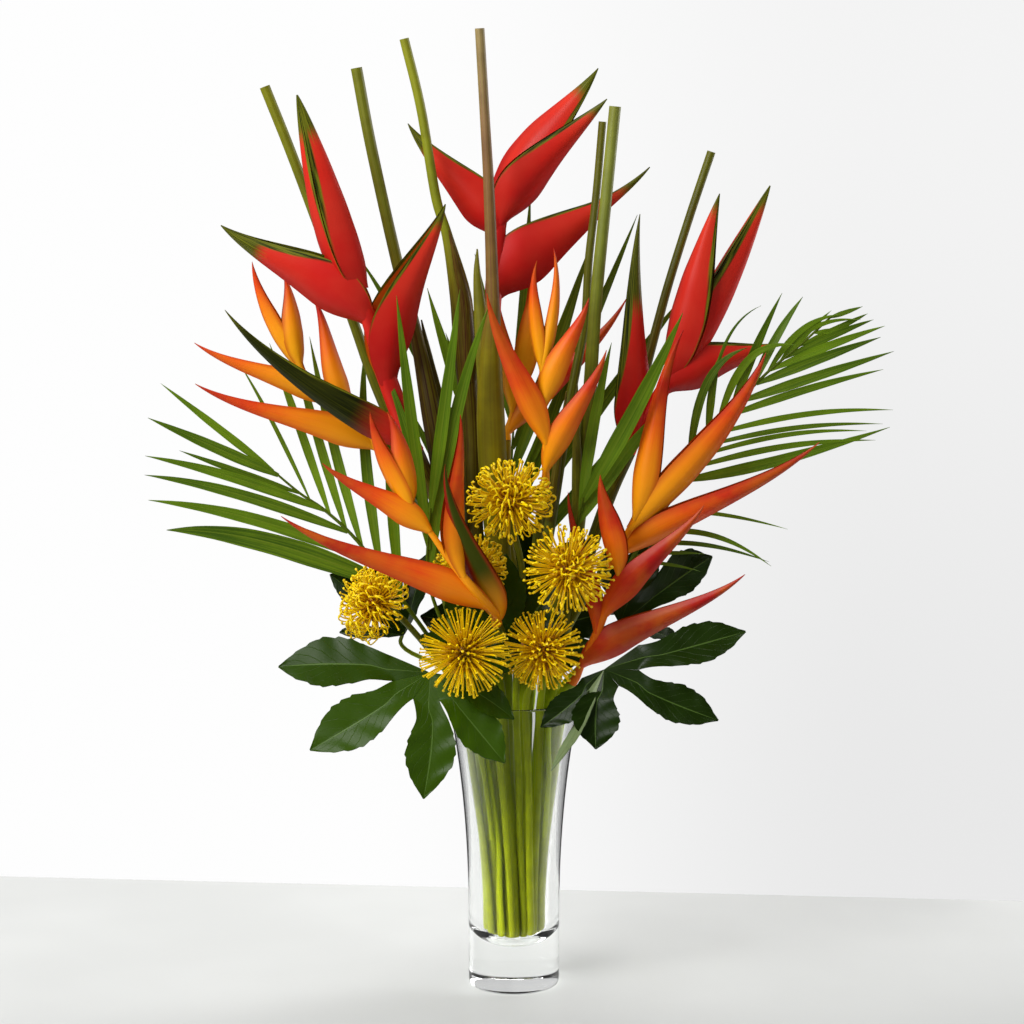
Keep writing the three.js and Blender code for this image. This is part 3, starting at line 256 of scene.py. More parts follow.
# Palm fronds: the rachis above the vase, then the leaflets. Each leaflet is its place along the rachis, half
# its width, the point it bends through halfway, if it isn't simply straight, and its tip.
FRONDS = {
    "palm_left": ([(-78, 14, 345), (-115, 18, 398), (-158, 22, 455), (-191, 26, 486), (-216, 28, 503),
                   (-243, 28, 526)], [
        (0.24, 11.5, (-262, 10, 470), (-348, 0, 470)), (0.33, 7, (-264, 12, 488), (-366, 2, 500)),
        (0.46, 6, (-286, 14, 513), (-369.6, 5, 525)), (0.6, 5.6, (-290, 15, 528), (-369, 7, 544)),
        (0.8, 3.6, (-290, 18, 531), (-335, 10, 549)), (0.96, 6.2, (-304, 20, 553), (-366, 10, 582)),
        (1, 4.4, None, (-353, 15, 616)),
        (0.72, 2.4, (-246, 32, 585), (-276, 35, 634)), (0.57, 4.6, (-222, 34, 588), (-246, 40, 654)),
        (0.47, 5, (-205, 34, 580), (-224, 42, 659)), (0.38, 5.4, (-187, 36, 562), (-206, 46, 660)),
        (0.29, 6, (-158, 40, 560), (-150, 48, 650)), (0.2, 6, (-128, 36, 520), (-126, 44, 600)),
    ]),
    "palm_right": ([(74, 4, 345), (104, 2, 410), (126, 2, 454), (158, 2, 502), (186, 2, 551), (215, 0, 589),
                    (249, 0, 626), (284, 0, 656), (313, 0, 683)], [
        (0.42, 6, (263, -6, 537), (373, -10, 575)), (0.45, 3.4, (270, -6, 562), (359, -10, 562)),
        (0.48, 2.8, (270, -5, 574), (350, -8, 571)), (0.51, 2.8, (282, -5, 580), (366, -8, 578)),
        (0.55, 3.2, (292, -5, 594), (376, -8, 592)), (0.61, 4.2, (295, -4, 616), (366, -5, 632)),
        (0.66, 5.2, (305, -4, 627), (376, -5, 650)), (0.72, 5.2, (307, -3, 645), (363, -4, 664)),
        (0.77, 4.4, (318, -2, 659), (367, -3, 675)), (0.82, 3.8, (323, -1, 670), (356, 0, 681)),
        (0.87, 3.4, (330, 0, 677), (350, 0, 687)), (0.93, 2.8, None, (336, 0, 672)),
        (1, 2.6, None, (345, 0, 694)), (0.8, 2.8, (292, -2, 685), (343, -3, 681)),
        (0.45, 4.6, (181, -12, 640), (230, -20, 655)), (0.53, 4.2, (196, -10, 626), (203, -14, 646)),
        (0.57, 4.2, (224, -10, 664), (278, -16, 657)), (0.63, 5, (236, -8, 652), (264, -10, 708)),
        (0.7, 4.6, (260, -5, 670), (285, -6, 704)), (0.76, 3.4, (282, -4, 682), (322, -2, 686)),
        (0.83, 3, (290, -2, 670), (314, 0, 690)), (0.52, 1.8, (198, -14, 676), (243, -16, 696)),
        (0.34, 2.2, (205, -10, 492), (272, -20, 474)), (0.28, 3, (198, -12, 480), (256, -22, 437)),
        (0.25, 2.6, (186, -10, 465), (254, -20, 441)), (0.22, 2.2, (158, -8, 450), (190, -14, 448)),
        (0.2, 2, (150, -8, 440), (186, -12, 430)),
    ]),
    "palm_front_left": ([(-66, -40, 370), (-85, -42, 430), (-82, -52, 500)], [
        (0.7, 6.2, (-102, -62, 600), (-113, -74, 710)), (0.5, 7, (-62, -60, 600), (-24, -66, 700)),
        (0.97, 6.4, (-66, -64, 610), (-52, -70, 716)), (0.8, 5.6, (-96, -50, 560), (-128, -40, 640)),
    ]),
    "palm_front_right": ([(42, -36, 380), (52, -38, 430), (62, -42, 480), (68, -46, 510)], [
        (0.7, 7, (112, -40, 560), (150, -34, 600)), (0.95, 8.6, (122, -58, 600), (163, -66, 693)),
        (0.85, 6, (78, -30, 590), (96, -20, 660)),
    ]),
    "palm_back": ([(-12, 78, 380), (-6, 88, 470), (0, 96, 570)], [
        (0.15, 6, (-66, 94, 500), (-119, 100, 600)), (0.35, 6, (-82, 96, 620), (-162, 100, 742)),
        (0.55, 8, (-60, 98, 600), (-89, 105, 705)), (0.75, 7, (-32, 100, 620), (-45, 110, 692)),
        (0.95, 6, (-24, 102, 660), (-40, 104, 740)),
        (0.15, 7, (104, 90, 540), (190, 90, 640)), (0.35, 7, (96, 94, 600), (177, 90, 702)),
        (0.55, 6, (74, 98, 650), (126, 100, 780)), (0.7, 8, (44, 100, 640), (77, 100, 746)),
        (0.85, 7, (36, 102, 620), (60, 105, 700)), (0.97, 6.4, (10, 104, 680), (17, 112, 805)),
        (0.45, 7, (40, 94, 560), (60, 92, 650)), (0.5, 7, (-40, 94, 570), (-70, 92, 660)),
    ]),
}

# Palmate leaves: the hub, the way the upper face looks, and the lobes' tips in turn. A lobe's last numbers
# are half its width as a share of its length, and how far it is turned over about its middle rib, in degrees.
LEAVES = {
    "leaf_left": [((-82, -84, 342), (0.05, -0.8, 0.6), [
        (-232, -66, 344, 0.18, 0), (-199, -104, 269, 0.19, 0), (-88, -118, 224, 0.2, 0),
        (-9, -116, 259, 0.19, 0), (0, -104, 300, 0.17, 0)]),
        ((-18, -44, 330), (0, -0.97, 0.25), [
        (-92, -46, 372, 0.2, 0), (-62, -42, 430, 0.22, 0), (-8, -40, 452, 0.2, 0), (48, -40, 428, 0.22, 0),
        (74, -44, 366, 0.2, 0)])],
    "leaf_right": [((88, -92, 347), (0.05, -0.8, 0.6), [
        (26, -104, 292, 0.18, 0), (36, -122, 253, 0.13, 62), (79, -124, 275, 0.3, 0),
        (198, -114, 301, 0.17, 0), (226, -85, 383, 0.15, 0)])],
    "leaf_back_left": [((-112, 34, 356), (-0.2, -0.5, 0.85), [
        (-90, 60, 434, 0.19, 0), (-140, 50, 440, 0.19, 0), (-186, 20, 421, 0.19, 0),
        (-176, 6, 364, 0.19, 0)])],
    "leaf_back_right": [((108, 38, 366), (0.2, -0.5, 0.85), [
        (166, 6, 356, 0.19, 0), (200, 16, 440, 0.24, 0), (140, 50, 452, 0.19, 0), (92, 60, 440, 0.19, 0)])],
    "leaf_back": [((28, 104, 352), (0, 0.6, 0.8), [
        (134, 98, 374, 0.17, 0), (104, 180, 320, 0.17, 0), (22, 205.6, 290, 0.17, 0),
        (-52, 172, 330, 0.17, 0), (-84, 92, 372, 0.17, 0)]),
        ((2, 60, 340), (0.05, -0.95, 0.25), [
        (-96, 54, 372, 0.22, 0), (-76, 60, 448, 0.22, 0), (-4, 66, 486, 0.2, 0), (72, 60, 452, 0.22, 0),
        (98, 54, 376, 0.2, 0)])],
}
PAINTED_LIGHT_LEAVES = {"leaf_left": 1.0}  # how much lighter green is painted on them as painted light, where the light falls on them. The others' is 0.2
LOBE = [(0.27, 0.5), (0.36, 0.56), (0.48, 0.8), (0.62, 1), (0.74, 0.97), (0.88, 0.58), (1, 0.02)]
NOTCH = 0.27  # the share of its length by which a lobe is grown together with the next
FOLD, LOBE_ARCH, LOBE_WAVE = 0.25, 0.12, 0.05  # how far a lobe is folded, arched and bent sideways
TEETH, TOOTH_DEPTH = 11, 0.09
RIPPLE = 0.9
BLADE_THICKNESS = 0.9
LEAFLET = [(0, 0.28), (0.1, 0.7), (0.3, 1), (0.6, 0.86), (0.85, 0.42), (1, 0.03)]

# ---------------------------------------------------------------- lines and shapes


def vec(numbers):
    return np.array(numbers, float)


def unit(a):
    return a / np.maximum(np.linalg.norm(a, axis=-1, keepdims=True), 1e-9)


def eased(stops, t):
    """A smooth reading of (place, value) stops at t."""
    places, values = zip(*stops)
    narrowing = np.minimum(1, 4 * (1 - t))
    return np.mean([np.interp(t + step * narrowing, places, values) for step in np.linspace(-0.05, 0.05, 7)],
                   axis=0)


def through(points):
    """A smooth line through points, read at an array of shares of its way."""
    p = vec(points)
    p = np.vstack([2 * p[0] - p[1], p, 2 * p[-1] - p[-2]])
    spans = len(p) - 3

    def line(t):
        place = np.clip(np.atleast_1d(t), 0, 1) * spans
        i = np.minimum(place.astype(int), spans - 1)
        w = (place - i)[:, None]
        a, b, c, d = p[i], p[i + 1], p[i + 2], p[i + 3]
        return ((2 * w**3 - 3 * w**2 + 1) * b + (w**3 - 2 * w**2 + w) * (c - a) / 2
                + (3 * w**2 - 2 * w**3) * c + (w**3 - w**2) * (d - b) / 2)

    return line


def bezier(p0, p1, p2, p3):
    """The same for a cubic curve from p0 to p3."""
    def line(t):
        t = np.clip(np.atleast_1d(t), 0, 1)[:, None]
        return (1 - t)**3 * p0 + 3 * t * (1 - t)**2 * p1 + 3 * t**2 * (1 - t) * p2 + t**3 * p3

    return line


def heading(line, t):
    return unit((line(t + 2e-3) - line(t - 2e-3))[:, :3])


def stations(u, rows):
    """Each corner's row, and how far along the piece the row lies. The first and last rows close the ends."""
    row = np.round(u * rows)
    return row, np.clip((row - 1) / (rows - 2), 0, 1)


def outward(line, t, v, reference):
    """The way out from a line at t, for each share v of the turn round it."""
    ahead = heading(line, t)
    across = unit(np.cross(vec(reference), ahead))
    other = np.cross(ahead, across)
    turn = np.where(v > 0.9999, 0, v) * 2 * np.pi
    return np.cos(turn)[:, None] * across + np.sin(turn)[:, None] * other


def smoothed(t):
    return t * t * (3 - 2 * t)


BLANKS = {}


def blank(rows, columns):
    """A flat grid, one unit each way, which every blade and stalk of that many faces starts as."""
    if (rows, columns) not in BLANKS:
        bpy.ops.object.select_all(action="DESELECT")
        bpy.ops.mesh.primitive_grid_add(x_subdivisions=rows, y_subdivisions=columns, size=1)
        BLANKS[rows, columns] = bpy.context.object
    return BLANKS[rows, columns]


def keep_growth(mesh, growth):
    """Writes the three numbers that a piece's finish reads into its mesh."""
    kept = mesh.attributes.new("growth", "FLOAT_VECTOR", "POINT")
    kept.data.foreach_set("vector", np.tile(np.array(growth, np.float32), len(mesh.vertices)))


def shaped(rows, columns, place, tone=None, growth=(0, 0, 0)):
    """A copy of the blank whose corners go where place(u, v) says, in millimetres."""
    piece = blank(rows, columns).copy()
    piece.data = piece.data.copy()
    mesh = piece.data
    bpy.context.scene.collection.objects.link(piece)
    flat = np.empty(3 * len(mesh.vertices), np.float32)
    mesh.vertices.foreach_get("co", flat)
    spots = place(flat[0::3] + 0.5, flat[1::3] + 0.5)
    mesh.vertices.foreach_set("co", (spots * MM).astype(np.float32).ravel())
    keep_growth(mesh, growth)
    kept = mesh.attributes.new("tone", "FLOAT_COLOR", "POINT")
    colours = np.ones((len(spots), 4), np.float32)
    if tone is not None:
        colours[:, :3] = tone(spots[:, 2])
    kept.data.foreach_set("color", colours.ravel())
    mesh.shade_smooth()
    return piece


def joined(parts, seam):
    """The parts as one object, whose corners that meet within the seam's width are merged."""
    bpy.ops.object.select_all(action="DESELECT")
    for part in parts:
        part.select_set(True)
    bpy.context.view_layer.objects.active = parts[0]
    if len(parts) > 1:
        bpy.ops.object.join()
    bpy.ops.object.mode_set(mode="EDIT")
    bpy.ops.mesh.select_all(action="SELECT")
    bpy.ops.mesh.remove_doubles(threshold=seam)
    bpy.ops.object.mode_set(mode="OBJECT")
    return parts[0]


def gather(name, parts, node, slot, material, angle=60):
    """Makes the parts one closed piece with its finish, and puts it in the CAD node's place."""
    piece = joined(parts, 2e-6)
    piece.name = piece.data.name = name
    bpy.ops.object.mode_set(mode="EDIT")
    bpy.ops.mesh.select_all(action="SELECT")
    bpy.ops.mesh.normals_make_consistent(inside=False)
    bpy.ops.object.mode_set(mode="OBJECT")
    bpy.ops.object.shade_smooth_by_angle(angle=math.radians(angle))
    piece.data.materials.clear()
    piece.data.materials.append(material)
    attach(piece, "root")
    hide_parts(node)


def linear(colour):
    """A hex colour as the linear numbers that sockets take."""
    parts = [int(colour[i:i + 2], 16) / 255 for i in (1, 3, 5)]
    return [c / 12.92 if c < 0.04045 else ((c + 0.055) / 1.055)**2.4 for c in parts]


def by_height(stops):
    heights = [z for z, _ in stops]
    colours = np.array([linear(c) for _, c in stops])
    return lambda z: np.stack([np.interp(z, heights, colours[:, i]) for i in range(3)], axis=1)


def stalk(points, rows=40, columns=16, reference=(0, 1, 0), laps=0.0, tone=None, growth=(0, 0, 0)):
    """A closed stalk along points (x, y, z, radius). laps is how far old leaf bases stand out round it."""
    line = through(points)

    def place(u, v):
        row, t = stations(u, rows)
        at = line(t)
        lap = laps * ((v * 2 + 0.6 * t) % 1)
        radius = np.maximum(at[:, 3], 0.3) * (1 - lap) * ((row > 0) & (row < rows))
        return at[:, :3] + radius[:, None] * outward(line, t, v, reference)

    return shaped(rows, columns, place, tone, growth)


def folded_blade(line, side, section, thickness, rows, half_columns, growth):
    """A thin closed blade along a line. section(t, k) is how far sideways and up a point of its lower face
    lies, k running from one edge, -1, over the keel, 0, to the other, 1. The upper face comes back above."""
    def place(u, v):
        row, t = stations(u, rows)
        upper = v > 0.5
        k = np.where(upper, 3 - 4 * v, 4 * v - 1)
        sideways = side(t)
        up = unit(np.cross(heading(line, t), sideways))
        s, n = section(t, k)
        s1, n1 = section(t, np.minimum(k + 0.02, 1))
        s0, n0 = section(t, np.maximum(k - 0.02, -1))
        along = unit(np.stack([s1 - s0, n1 - n0], axis=1))
        inward = np.where(upper, thickness(t) * (1 - np.abs(k)**5), 0)
        ends = (row < 1) | (row > rows - 1)
        s = np.where(ends, 0, s - along[:, 1] * inward)
        n = np.where(ends, 0, n + along[:, 0] * inward)
        return line(t)[:, :3] + s[:, None] * sideways + n[:, None] * up

    return shaped(rows, 4 * half_columns, place, growth=growth)


# ---------------------------------------------------------------- the vase

# The bore's sweep, as (radius, height): the end of its straight part, the corner it bends round, the mouth.
BORE_SWEEP = ((VASE["bore"], 70), (VASE["bore"] + 1, 170),
              (VASE["rim"] - VASE["rim_wall"], VASE["height"] - 1))


def cavity_radius(height):
    (x0, y0), (x1, y1), (x2, y2) = BORE_SWEEP
    if height <= y0:
        return x0
    if height >= y2:
        return x2
    a, b, c = y0 - 2 * y1 + y2, 2 * (y1 - y0), y0 - height
    t = -c / b if abs(a) < 1e-9 else (-b + math.sqrt(b * b - 4 * a * c)) / (2 * a)
    return (1 - t)**2 * x0 + 2 * t * (1 - t) * x1 + t * t * x2


def swept(start, middle, end, count=22):
    """Points on the sweep of a wall, from the low end upwards."""
    return [tuple((1 - t)**2 * a + 2 * t * (1 - t) * b + t * t * c for a, b, c in zip(start, middle, end))
            for t in np.linspace(0, 1, count)]


def stem_end(name):
    return LEAF_STALK_END if name.startswith("leaf") else BOWL_TOP


def pushed_apart(stems):
    """One round of moving [name, radius, x, y] stems off each other where they are too near."""
    for i, a in enumerate(stems):
        for b in stems[i + 1:]:
            dx, dy = b[2] - a[2], b[3] - a[3]
            apart = math.hypot(dx, dy)
            push = (a[1] + b[1] + CLEARANCE - apart) / 2
            if push > 0:
                a[2] -= dx / apart * push
                a[3] -= dy / apart * push
                b[2] += dx / apart * push
                b[3] += dy / apart * push


def kept_inside(stems, room):
    for stem in stems:
        reach = math.hypot(stem[2], stem[3])
        most = room - stem[1] - 1.6 * CLEARANCE
        if reach > most:
            stem[2] *= most / reach
            stem[3] *= most / reach


def settle_stems():
    """Each stem's way up the vase: turned, drawn in towards the foot, clear of the others and the glass."""
    settled = {name: [] for name in STEMS}
    mouth = cavity_radius(VASE["height"])
    for height in REST_HEIGHTS:
        room = cavity_radius(height)
        share = room / mouth
        turn = TWIST * (1 - height / VASE["height"])
        present = [[name, radius * (0.86 + 0.14 * share),
                    share * (x * math.cos(turn) - y * math.sin(turn)),
                    share * (x * math.sin(turn) + y * math.cos(turn))]
                   for name, (x, y, radius) in STEMS.items() if stem_end(name) <= height]
        for _ in range(SETTLING_ROUNDS):
            pushed_apart(present)
            kept_inside(present, room)
        for name, radius, x, y in present:
            settled[name].append((x, y, height, radius))
    for name in STEMS:
        if stem_end(name) == BOWL_TOP:
            x, y, _, radius = settled[name][0]
            reach = (DRAWN_IN * math.hypot(x, y) + radius + 0.5) / VASE["bore"]
            depth = VASE["bowl"] * math.sqrt(1 - min(1, reach)**2)
            end_height = VASE["floor"] + VASE["bowl"] - depth + 1.2
            settled[name].insert(0, (DRAWN_IN * x, DRAWN_IN * y, end_height, radius))
    return settled


def vase(material):
    """The glass, drawn ring by ring from the foot up the wall, over the rim and down into the bowl."""
    foot, base, wall, top = VASE["foot"], VASE["base"], VASE["rim_wall"], VASE["height"] - 2
    profile = [(foot, 0), (foot + 1.1, 0.4), (foot + 2.1, 1.4),
               (base - 0.5, 3.2), (base - 0.1, 5.5), (base, 9), (base, 50)]
    profile += swept((base, VASE["flare_start"]), (base + 1, 200), (VASE["rim"], top))
    profile += [(VASE["rim"] - wall / 2 + wall / 2 * math.cos(a), top + 2 * math.sin(a))
                for a in np.linspace(0.2, math.pi - 0.2, 7)]
    profile += reversed(swept(BORE_SWEEP[0], BORE_SWEEP[1], (VASE["rim"] - wall, top)))
    profile += [(VASE["bore"] * math.cos(a), VASE["floor"] + VASE["bowl"] * (1 - math.sin(a)))
                for a in np.linspace(0, 0.48 * math.pi, 14)]
    bpy.ops.object.select_all(action="DESELECT")
    bpy.ops.mesh.primitive_circle_add(vertices=128, radius=profile[0][0] * MM, fill_type="TRIFAN")
    piece = bpy.context.object
    bpy.ops.object.mode_set(mode="EDIT")
    bpy.ops.mesh.select_all(action="DESELECT")
    bpy.ops.mesh.select_non_manifold()
    for (r0, z0), (r1, z1) in zip(profile, profile[1:]):
        bpy.ops.mesh.extrude_region_move(TRANSFORM_OT_translate={"value": (0, 0, (z1 - z0) * MM)})
        bpy.ops.transform.resize(value=(r1 / r0, r1 / r0, 1), center_override=(0, 0, z1 * MM))
    bpy.ops.mesh.extrude_region_move(TRANSFORM_OT_translate={"value": (0, 0, 0)})
    bpy.ops.mesh.merge(type="CENTER")
    bpy.ops.object.mode_set(mode="OBJECT")
    gather("vase", [piece], "glass_vase", "glass", material, angle=50)


# ---------------------------------------------------------------- heliconias


def bract(axis, axis_length, kind, plan):
    """A boat-shaped bract: a blade folded along its keel. It leaves the axis below its own place, bows out
    and curls up to its tip."""
    s = {**kind, **plan}
    root, along = axis(s["at"])[0, :3], heading(axis, np.array([s["at"]]))[0]
    tip = vec(s["tip"])
    length = np.linalg.norm(tip - root)
    chord = (tip - root) / length
    opening = vec(s["open"]) if "open" in s else along
    opening = unit(opening - chord * (opening @ chord))
    side = np.cross(opening, chord)
    tip_way = unit(chord + s["curl"] * opening)
    start = axis(max(0.04, s["at"] - s["clasp"] * s["depth"] / axis_length))[0]
    line = bezier(start[:3], root + 0.12 * length * chord - s["bow"] * length * opening,
                  tip - 0.4 * length * tip_way, tip)
    base_share = 1.7 * start[3] / s["depth"]  # so that the base starts inside the bloom's tube
    shape = [(0, min(s["shape"][0][1], base_share)), *s["shape"][1:]]

    def section(t, k):
        share = eased(shape, t)
        far = np.abs(k)
        out = np.sin(np.pi * far) + s["lip"] * np.maximum(2 * far - 1, 0)**2
        wide = share**(0.5 + np.minimum(0.3, t))  # the base stays rounder than the tip
        return np.sign(k) * s["gape"] * wide * out, s["depth"] * share * (far - 0.5)

    def thickness(t):
        return np.minimum(1.8, 0.35 * s["gape"] * eased(shape, t)**0.8)

    return folded_blade(line, lambda t: side, section, thickness, 44, 7,
                        growth=(s["turned"] + s["ripe"], s["edge"], s["olive"]))


def bloom(kind, axis_points, bracts, stalk_end):
    """The tube that grows on from the stalk, thinner towards the top, and the bracts that start inside it."""
    foot = vec(axis_points[0][:3])
    way = unit(foot - vec(stalk_end[:3]))
    radius, slim = axis_points[0][3], kind["slim"]
    last = len(axis_points) - 1
    tapering = [(x, y, z, r * slim * (1 - 0.5 * i / last)) for i, (x, y, z, r) in enumerate(axis_points)]
    points = [(*(foot + way * PIECE_GAP), radius), (*(foot + way * 9), radius * (1 + slim) / 2),
              *tapering[1:]]
    axis = through(tapering)
    marks = axis(np.linspace(0, 1, 60))[:, :3]
    length = np.linalg.norm(np.diff(marks, axis=0), axis=1).sum()
    tube = stalk(points, growth=(kind["tube_turned"] + kind["ripe"], 0, 0))
    return [tube, *(bract(axis, length, kind, plan) for plan in bracts)]


def plant(name, lower):
    spec = PLANTS[name]
    tone = by_height(IN_VASE + STALK_TONES[name])
    if "leaf_stalk" not in spec:
        return [stalk([*lower, *spec["flower_stalk"]], 40, tone=tone)]
    return [stalk([*lower, *spec["leaf_stalk"]], 90, 24, laps=0.07, tone=tone),
            stalk(spec["flower_stalk"], 20, tone=tone),
            stalk(spec["sheath"], 30, 20, laps=0.1, tone=by_height([(0, SHEATH_TONES[name])]))]


# ---------------------------------------------------------------- pincushions


def thread(points, radius, knob, rows, columns, growth):
    """A fine style or curl along points. knob is how thick its end swells."""
    line = through(points)

    def place(u, v):
        row, t = stations(u, rows)
        swell = np.interp(t, (0, 0.84, 0.93, 1), (radius, radius * 0.9, knob, knob * 0.45))
        swell = swell * ((row > 0) & (row < rows))
        return line(t) + swell[:, None] * outward(line, t, v, (0.31, 0.52, 0.8))

    return shaped(rows, columns, place, growth=growth)


def pincushion_head(seed, centre, faces, reach, hook, dark):
    """Styles stand on a round core, bend outwards and hook in at their knobbed ends. Curled flower tubes lie
    between their feet. dark is how green the middle still is."""
    chance = np.random.default_rng(seed)
    axis = unit(vec(faces))
    across = unit(np.cross((1.0, 0, 0), axis))
    other = np.cross(axis, across)
    middle, core = vec(centre), HEAD["core"]
    widest = math.radians(HEAD["widest"])

    def way(lean, turn):
        return math.cos(lean) * axis + math.sin(lean) * (math.cos(turn) * across + math.sin(turn) * other)

    def lean_of(share, most):
        """The lean that comes after this share of all, when they are spread evenly over the ball."""
        return math.acos(1 - share * (1 - math.cos(most)))

    bpy.ops.object.select_all(action="DESELECT")
    bpy.ops.mesh.primitive_ico_sphere_add(subdivisions=3, radius=core * MM, location=middle * MM)
    bpy.ops.object.transform_apply(location=True, rotation=False, scale=False)
    parts = [bpy.context.object]
    keep_growth(parts[0].data, (1, 0, 0.5 * dark))
    for i in range(HEAD["styles"]):
        lean = lean_of((i + 0.5) / HEAD["styles"], widest) + chance.normal(0, 0.04)
        turn = i * GOLDEN_ANGLE + chance.normal(0, 0.06)
        far = reach * (0.64 + 0.36 * math.sin(min(lean, math.pi / 2))) * chance.uniform(0.92, 1)
        out, curl = way(lean, turn), hook * chance.uniform(0.6, 1.3)
        inward = unit(axis - (axis @ out) * out + chance.normal(0, 0.3, 3))
        bent = way(lean * 1.04, turn)
        points = [out * core * 0.8, bent * 0.5 * far, bent * 0.8 * far,
                  out * (0.95 - 0.03 * curl) * far + 2.2 * curl * inward,
                  out * (0.99 - 0.05 * curl) * far + 7 * curl * inward,
                  out * (1 - 0.17 * curl) * far + 10 * curl * inward]
        parts.append(thread([middle + p for p in points], HEAD["style_radius"], HEAD["knob_radius"], 15, 6,
                            (0, chance.uniform(0, 1), 0)))
    for i in range(HEAD["curls"]):
        lean = lean_of((i + 0.5) / HEAD["curls"], widest * 0.9)
        foot = way(lean, i * GOLDEN_ANGLE + 0.9)
        swing = unit(np.cross(foot, chance.normal(size=3)))
        high = core + chance.uniform(4, 9)
        points = [foot * core * 0.9, foot * (high - 2) + swing * 1.5, foot * high + swing * 4.5,
                  foot * (high - 4) + swing * 6]
        parts.append(thread([middle + p for p in points], 1.0, 1.2, 8, 5,
                            (1, chance.uniform(0, 1), dark * max(0, 1 - lean / 0.7))))
    return parts


# ---------------------------------------------------------------- palm fronds


def leaflet(root, half, bend, tip, chance):
    """A narrow blade folded along its middle rib, its face towards the viewer but for a small turn."""
    tip = vec(tip)
    middle = (root + tip) / 2 if bend is None else vec(bend)
    line = bezier(root, root + (middle - root) * 0.72, tip + (middle - tip) * 0.72, tip)
    turn = chance.normal(0, 0.22)
    flat = unit(np.array((math.sin(turn), -math.cos(turn), 0.1)))

    def side(t):
        return unit(np.cross(flat, heading(line, t)))

    def section(t, k):
        wide = half * eased(LEAFLET, t)
        return k * wide, wide * 0.34 * (np.sqrt(k * k + 0.02) - 0.6)

    return folded_blade(line, side, section, lambda t: np.full(len(t), 0.7), 22, 2,
                        growth=(chance.uniform(0, 1), chance.uniform(0, 1), 0))


def along_line(points, t):
    place = t * (len(points) - 1)
    i = min(int(place), len(points) - 2)
    return vec(points[i]) + (place - i) * (vec(points[i + 1]) - vec(points[i]))


def frond(seed, lower, rachis, leaflets):
    chance = np.random.default_rng(seed)
    line = [(*p, 2.6 - 1.5 * (i + 1) / len(rachis)) for i, p in enumerate(rachis)]
    stem = stalk([*lower, *line], 60, 10, tone=by_height(IN_VASE + RACHIS_TONES), growth=(0.5, 0.5, 1))
    return [stem, *(leaflet(along_line(rachis, at), half, bend, tip, chance)
                    for at, half, bend, tip in leaflets)]


# ---------------------------------------------------------------- palmate leaves


def leaf(chance, lower, hub, faces, tips, painted_light):
    """Toothed lobes spread from the hub, grown together at their feet, and the stalk behind them."""
    middle, up = vec(hub), unit(vec(faces))
    arms = [vec(tip[:3]) - middle for tip in tips]

    def notch(i):
        """Where the edges of two neighbouring lobes meet, or how far the outer ones reach at their feet."""
        before, after = arms[max(0, i - 1)], arms[min(len(arms) - 1, i)]
        at = (before + after) * 0.5 * NOTCH
        if i in (0, len(arms)):
            at = at + unit(np.cross(up, before)) * (-0.1 if i == 0 else 0.1) * np.linalg.norm(before)
        return at

    def lobe(i):
        arm, broad, turned = arms[i], tips[i][3], math.radians(tips[i][4])
        length = np.linalg.norm(arm)
        across = unit(np.cross(up, arm))
        phase = chance.uniform(0, 1, 2)
        wave = chance.uniform(-1, 1)
        edges = {-1: notch(i), 1: notch(i + 1)}

        def place(u, v):
            hand = v * 2 - 1
            far = np.abs(hand)
            beyond = smoothed(np.clip((u - NOTCH) / 0.14, 0, 1))
            bend = LOBE_WAVE * length * np.sin(np.pi * u) * wave
            rib = u[:, None] * arm + bend[:, None] * across * (beyond[:, None])
            tooth = (u * TEETH + np.where(hand < 0, phase[0], phase[1])) % 1 - 0.5
            toothed = np.clip((u - 0.4) / 0.15, 0, 1) * (u < 0.97)
            half = eased(LOBE, u) * broad * length * (1 + TOOTH_DEPTH * tooth * toothed)
            tilt = turned * beyond
            blade = (rib + (half * hand * np.cos(tilt))[:, None] * across
                     + (half * hand * np.sin(tilt))[:, None] * up)
            inner = np.minimum(u / NOTCH, 1)[:, None] * np.where(hand[:, None] < 0, edges[-1], edges[1])
            base = rib + far[:, None] * (inner - rib)
            flat = base + beyond[:, None] * (blade - base)
            ripple = RIPPLE * np.sin(u * 30 + hand * 2.5) * far * beyond
            rise = FOLD * half * far * beyond + LOBE_ARCH * length * u * (1 - u) + ripple
            return middle + flat + rise[:, None] * up

        # The first growth number is painted light: a lighter green on the lit leaves, varied from lobe to
        # lobe.
        return shaped(48, 18, place, growth=(painted_light * chance.uniform(0.4, 1), turned > 0.5, 0))

    blade = joined([lobe(i) for i in range(len(tips))], 1e-5)
    bpy.ops.object.modifier_add(type="SOLIDIFY")
    solidify = blade.modifiers[-1]
    solidify.thickness = BLADE_THICKNESS * MM
    solidify.offset = 0
    bpy.ops.object.modifier_apply(modifier=solidify.name)
    spread = sum(vec(tip[:3]) for tip in tips) / len(tips)
    end = middle + 0.05 * (spread - middle)
    before = end - 16 * up - np.array((0, 0, 6.0))
    petiole = stalk([*lower, (*before, 2.2), (*end, 1.8)], 30, 10, tone=by_height(IN_VASE + PETIOLE_TONES),
                    growth=(0.5, 0, 1))
    return [blade, petiole]


# ---------------------------------------------------------------- finishes


